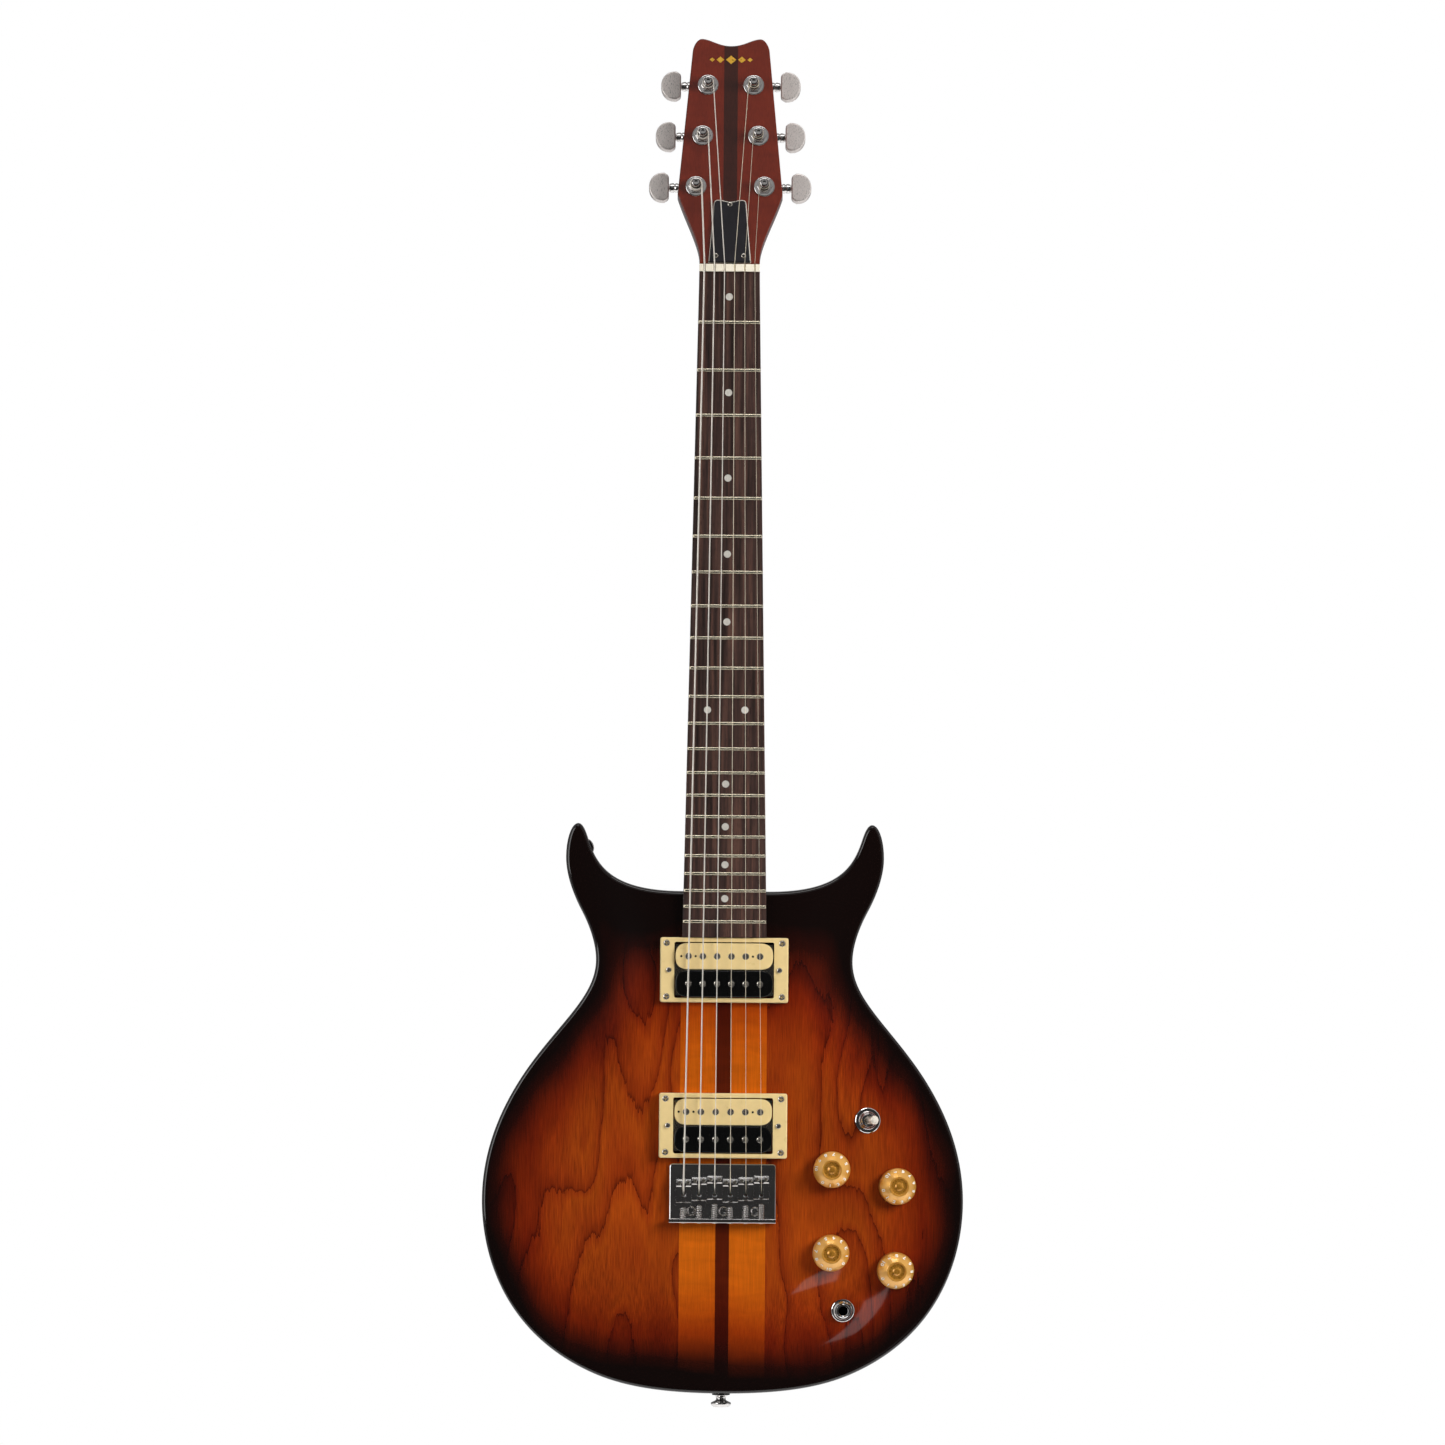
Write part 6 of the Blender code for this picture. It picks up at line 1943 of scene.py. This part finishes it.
@dataclass
class Knob:
    """A bell-shaped knob: clear acrylic over gold paint, with white numbers round its shoulder."""

    setout: Setout
    body: Body
    name: str
    first: float
    radius: float = 0.0129
    height: float = 0.0135
    lift: float = 0.0010
    digit: float = 0.0040
    digit_bold: float = 0.00012
    digit_step: float = 30.0

    def build(self) -> None:
        """Makes the bell, the insert in its crown and its numbers."""
        spot = self.setout.joints[f"{self.name}_turn"]["pos_m"]
        frame = self.body.control_frame(spot[0], spot[2])
        r, h = self.radius, self.height
        outer = [
            (r * 0.70, self.lift), (r * 0.985, self.lift), (r, self.lift + 0.0006), (r, h * 0.46),
            (r * 0.985, h * 0.52), (r * 0.94, h * 0.60), (r * 0.86, h * 0.69), (r * 0.74, h * 0.82),
            (r * 0.64, h * 0.90), (r * 0.575, h * 0.96), (r * 0.545, h * 0.992), (r * 0.52, h),
            (r * 0.485, h * 0.995), (r * 0.46, h * 0.965), (r * 0.44, h * 0.93),
        ]
        bell = [(0, -0.010), (0.003, -0.010), (0.003, 0.006), (r * 0.70, 0.006), *outer, (r * 0.40, h * 0.90),
                (0, h * 0.90)]
        node = f"knob_{self.name}"
        finished(
            f"bell_{self.name}", placed(turned(bell, 72), frame), GOLD_PAINT, node, [node],
            32,
        )
        insert = [(0, h * 0.88), (r * 0.43, h * 0.88), (r * 0.43, h * 0.925), (r * 0.40, h * 0.912),
                  (r * 0.31, h * 0.900), (r * 0.25, h * 0.905), (r * 0.205, h * 0.93), (r * 0.175, h * 0.955),
                  (r * 0.11, h * 0.975), (0, h * 0.985)]
        finished(
            f"insert_{self.name}", placed(turned(insert, 48), frame), DARK_GOLD, node,
            sharp=50,
        )
        self.numbers(frame, node)

    def numbers(self, frame: Matrix, node: str) -> None:
        """Prints the numbers 0 to 10, evenly round the shoulder, with their tops towards the middle."""
        low = Vector((self.radius * 0.94, self.height * 0.60))
        high = Vector((self.radius * 0.74, self.height * 0.82))
        rise = (high - low).normalized()
        middle = low.lerp(high, 0.48)
        digits = []
        for number in range(11):
            angle = math.radians(self.first + self.digit_step * number)
            out = Vector((math.cos(angle), math.sin(angle), 0))
            right = Vector((-out.y, out.x, 0))
            up = out * rise.x + Vector((0, 0, rise.y))
            turn = Matrix((right, up, right.cross(up))).transposed().to_4x4()
            place = out * middle.x + Vector((0, 0, middle.y)) + right.cross(up) * 0.00012
            digits.append(placed(self.number(str(number)), frame, Matrix.Translation(place) @ turn))
        finished(f"numbers_{self.name}", gathered(digits), WHITE_PAINT, node)

    def number(self, text: str) -> Mesh:
        """Makes one number as a thin flat mesh about its middle."""
        curve = bpy.data.curves.new("number", "FONT")
        curve.body, curve.size, curve.extrude = text, self.digit, 0.00004
        curve.align_x, curve.align_y = "CENTER", "CENTER"
        curve.offset = self.digit_bold
        holder = linked("number", curve)
        made = plain(holder)
        bpy.data.objects.remove(holder)
        return made


@dataclass
class Sockets:
    """The toggle switch and the output jack."""

    setout: Setout
    body: Body
    switch: tuple[float, float] = (0.1006, 0.1911)
    jack: tuple[float, float] = (0.0843, 0.0588)
    lean: float = math.radians(17)

    def build(self) -> None:
        """Turns the switch, its lever and the jack."""
        frame = self.body.control_frame(self.switch[0], self.switch[1] + self.setout.tail)
        switch = [
            (0, -0.0180), (0.0062, -0.0180), (0.0062, -0.0125), (0.0038, -0.0125), (0.0038, 0.0003),
            (0.0083, 0.0003), (0.0088, 0.0005), (0.0088, 0.0010), (0.0084, 0.0013), (0.0064, 0.0014),
            (0.0062, 0.0017), (0.0061, 0.0030), (0.0057, 0.0036), (0.0050, 0.0038), (0.0046, 0.0044),
            (0.0038, 0.0047), (0.0029, 0.0047), (0.0026, 0.0043), (0.0026, -0.0010), (0, -0.0010),
        ]
        finished(
            "switch_body", placed(turned(switch, 56), frame), CHROME, "guitar",
            ["selector_switch"], 28,
        )
        lean = frame @ at(0, 0, 0.0022) @ about("Y", self.lean)
        lever = [
            (0, -0.0016), (0.0012, -0.0012), (0.0014, 0.0010), (0.0014, 0.0028), (0.0019, 0.0034),
            (0.0027, 0.0070), (0.0031, 0.0092), (0.0032, 0.0100), (0.0030, 0.0108), (0.0024, 0.0113),
            (0.0014, 0.0115), (0, 0.01155),
        ]
        finished(
            "toggle", placed(turned(lever, 40), lean), SATIN_NICKEL, "selector_lever",
            ["selector_lever"], 50,
        )
        frame = self.body.control_frame(self.jack[0], self.jack[1] + self.setout.tail)
        outer = [
            (0.0033, -0.0180), (0.0047, -0.0180), (0.0047, -0.0160), (0.0075, -0.0160), (0.0075, -0.0125),
            (0.0047, -0.0125), (0.0047, 0.0003), (0.0077, 0.0003), (0.0080, 0.0005), (0.0080, 0.0011),
            (0.0076, 0.0014), (0.0066, 0.0015), (0.0064, 0.0018), (0.0063, 0.0034), (0.0058, 0.0040),
            (0.0050, 0.0041), (0.0048, 0.0045), (0.0043, 0.0047), (0.0036, 0.0046), (0.0033, 0.0043),
        ]
        finished("jack_body", placed(ring(outer, 56), frame), CHROME, "guitar", ["output_jack"], 28)
        # A black skin a twentieth of a millimetre thick lines the jack's chrome bore: painted shade that
        # makes the inside of the hole read dark
        painted_shade_liner = ring([(0.00325, -0.0175), (0.0033, -0.0175), (0.0033, 0.0036), (0.00325, 0.0036)], 40)
        finished("jack_sleeve", placed(painted_shade_liner, frame), BLACK_PLASTIC, "guitar")


@dataclass
class Fittings:
    """The strap buttons and the cover on the back."""

    setout: Setout
    body: Body

    def build(self) -> None:
        """Makes the buttons and the cover."""
        gap = self.setout.gap
        down = at(0, 0, self.setout.tail - gap) @ about("X", math.pi)
        self.button("tail", down, self.setout.tail - gap)
        low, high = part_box("strap_button_horn")
        place = ((low.x + high.x) / 2, gap, (low.z + high.z) / 2)
        self.button("horn", Matrix.Translation(place) @ self.setout.back_frame, 0.0090)
        plan = self.body.control_plan(self.body.ledge)
        plate = prism(plan, -self.body.cover, 0, 0.0003)
        finished(
            "cavity_lid", placed(plate, self.setout.back_frame), COVER_PLASTIC, "guitar",
            ["control_cover"],
        )
        inner = inset(plan, 0.0042)
        count = len(inner)
        frames = [self.setout.back_frame @ at(*inner[round(k)], 0)
                  for k in (count * (j + 0.5) / 6 for j in range(6))]
        repeated("cavity_lid_screws", Fastener(0.0026, 0.0011).mesh(), frames, NICKEL, "guitar")

    def button(self, name: str, frame: Matrix, length: float) -> None:
        """Turns one strap button, with its felt and its screw."""
        flange, waist = 0.0070, 0.0033
        profile = eased(
            [(0, 0.0003), (0.0045, 0.0003), (0.0045, 0.0012), (waist, 0.0024), (waist, length * 0.48),
             (flange, length * 0.66), (flange, length * 0.80), (0.0050, length), (0, length)],
            [0, 0, 0.0003, 0.0010, 0.0014, 0.0006, 0.0006, 0.0006, 0], 5, closed=False,
        )
        sink = turned(
            [
                (0, length - 0.0012),
                (0.0022, length - 0.0012),
                (0.0032, length + 0.0002),
                (0, length + 0.001),
            ],
            28,
        )
        made = worked(turned(profile, 48), cut=[sink])
        finished(
            f"button_{name}", placed(made, frame), CHROME, "guitar", [f"strap_button_{name}"], 32
        )
        felt = ring(
            eased([(0.0024, 0), (0.0062, 0), (0.0062, 0.0010), (0.0024, 0.0010)], [0, 0, 0.0004, 0]), 40
        )
        finished(f"felt_{name}", placed(felt, frame), BLACK_FELT, "guitar")
        screw = Fastener(0.0027, 0.0011, recess=0.0009, arm=0.0004).mesh()
        finished(f"button_screw_{name}", placed(screw, frame, at(0, 0, length - 0.0011)), NICKEL,
                 "guitar")


def assemblies(setout: Setout, body: Body) -> list[Any]:
    """Gives every sub-assembly that sits on the body and neck."""
    starts = {"volume_neck": -126, "volume_bridge": -166, "tone_neck": -39, "tone_bridge": -151}
    return [
        Fretboard(setout),
        Strings(setout),
        Headstock(setout),
        *(Tuner(setout, i) for i in range(len(STRINGS))),
        Bridge(setout),
        Pickup(setout, "neck", 0.00996),
        Pickup(setout, "bridge", 0.0103),
        *(Knob(setout, body, name, first) for name, first in starts.items()),
        Sockets(setout, body),
        Fittings(setout, body),
    ]


def carry_over(nodes: dict[str, Thing]) -> None:
    """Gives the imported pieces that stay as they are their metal."""
    kept = {"truss_rod": BARE_STEEL, "pickup_neck_baseplate": NICKEL, "pickup_bridge_baseplate": NICKEL}
    kept |= {name: BARE_STEEL for name in nodes if name.startswith("pot_")}
    for name, finish in kept.items():
        for slot in nodes[name].material_slots:
            slot.material = finish.material()


# The studio


@dataclass
class Studio:
    """White all round to the eye, soft boxes out of the mirror's way and a long lens square to the front."""

    aim: tuple[float, float, float] = (-0.0025, 0.0, 0.477)
    field_width: float = 1.0054
    distance: float = 14.0
    lean: float = math.radians(0.44)
    key: tuple[float, float, float] = (2.27, -1.68, 1.36)
    key_size: tuple[float, float] = (1.5, 1.5)
    front_air: float = 0.035
    side_air: float = 0.65
    back_air: float = 0.2

    def build(self) -> None:
        """Sets the camera, the floor, the lights and the world."""
        scene = bpy.context.scene
        scene.view_settings.view_transform = "Standard"
        self.camera(scene)
        self.floor()
        # The key lights at full strength but shines back weaker, so that the lacquer keeps its depth
        self.lamp("key", self.key, self.key_size, 105).visible_glossy = False
        self.lamp("key_shine", self.key, self.key_size, 34).visible_diffuse = False
        self.lamp("fill", (-2.5, -2.1, 0.9), (1.6, 2.2), 38)
        self.lamp("overhead", (0.0, -0.9, 2.9), (1.8, 0.5), 12)
        self.lamp("head_panel", (0.0, -2.65, 2.29), (2.2, 1.2), 2.5)
        self.lamp("glint", (0.67, -3.87, -0.72), (0.42, 0.26), 0.4)
        self.air(scene)

    def camera(self, scene: bpy.types.Scene) -> None:
        """Points the lens at the middle of the guitar from far off."""
        data = bpy.data.cameras.new("camera")
        data.sensor_width = 36
        data.lens = 36 * (self.distance - 0.022) / self.field_width
        data.clip_end = 50
        data.dof.use_dof = False
        camera = linked("camera", data)
        turn = about("X", math.pi / 2) @ about("Z", self.lean)
        place = Vector(self.aim) - Vector((0, self.distance, 0))
        camera.matrix_world = Matrix.Translation(place) @ turn
        scene.camera = camera

    def floor(self) -> None:
        """Lays a round white floor well below the guitar, so that its lacquer doesn't mirror it."""
        disc = turned([(0, -0.02), (3.0, -0.02), (3.0, 0), (0, 0)], 96)
        disc.transform(at(0, 2.3, -0.80))
        # Matt white board, lit from inside just enough to print as white
        board = Moulded("white studio board, matte", "#F4F4F4", 0.9, cloud=300.0, cloud_depth=0.01, skin=2.0)
        material = board.material()
        shader = material.node_tree.nodes["Principled BSDF"]
        shader.inputs["Emission Color"].default_value = (1, 1, 1, 1)
        shader.inputs["Emission Strength"].default_value = 0.6
        disc.materials.append(material)
        floor = linked("floor", disc)
        floor.visible_camera = False

    def lamp(self, name: str, place: Sequence[float], size: Sequence[float], power: float) -> Thing:
        """Hangs one soft box that faces the guitar.

        Args:
            name: Its name.
            place: Where its middle is.
            size: Its width and height.
            power: Its power in watts.

        Returns:
            The lamp.
        """
        data = bpy.data.lights.new(name, "AREA")
        data.shape = "RECTANGLE"
        data.size, data.size_y = size
        data.energy = power
        lamp = linked(name, data)
        way = Vector((0, 0, 0.35)) - Vector(place)
        lamp.matrix_world = Matrix.Translation(place) @ way.to_track_quat("-Z", "Y").to_matrix().to_4x4()
        lamp.visible_camera = False
        return lamp

    def air(self, scene: bpy.types.Scene) -> None:
        """Makes the world: white as a background, dim in front of the guitar, bright cards at the sides."""
        world = bpy.data.worlds.new("studio air")
        scene.world = world
        world.use_nodes = True
        tree = world.node_tree
        seen = tree.nodes["Background"]
        seen.inputs["Color"].default_value = (1, 1, 1, 1)
        way = add_node(tree, "ShaderNodeTexCoord").outputs["Generated"]
        depth = add_node(tree, "ShaderNodeSeparateXYZ", {0: way}).outputs[1]
        level = ranged(tree, depth, (-0.15, 0.35, self.front_air, self.back_air))
        rise = ranged(tree, depth, (-0.55, -0.2, self.front_air, self.side_air))
        fall = ranged(tree, depth, (0.1, 0.5, self.side_air, self.back_air))
        cards = maths(tree, "MINIMUM", rise, fall)
        path = add_node(tree, "ShaderNodeLightPath").outputs
        level = add_node(tree, "ShaderNodeMix", {0: path["Is Glossy Ray"], 2: level, 3: cards}).outputs[0]
        lit = add_node(tree, "ShaderNodeBackground", {"Color": level})
        inputs = {0: path["Is Camera Ray"], 1: lit.outputs[0], 2: seen.outputs[0]}
        sky = add_node(tree, "ShaderNodeMixShader", inputs)
        tree.links.new(sky.outputs[0], tree.nodes["World Output"].inputs["Surface"])


def main() -> None:
    """Builds the guitar and the studio."""
    logging.basicConfig(level=logging.INFO, format="%(name)s: %(message)s")
    for thing in list(bpy.data.objects):
        bpy.data.objects.remove(thing)
    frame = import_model()
    setout = Setout({joint["name"]: joint for joint in frame["joints"]})
    body = Body(setout)
    body.build()
    for assembly in assemblies(setout, body):
        assembly.build()
    carry_over(frame["nodes"])
    Studio().build()


if __name__ == "__main__":
    main()
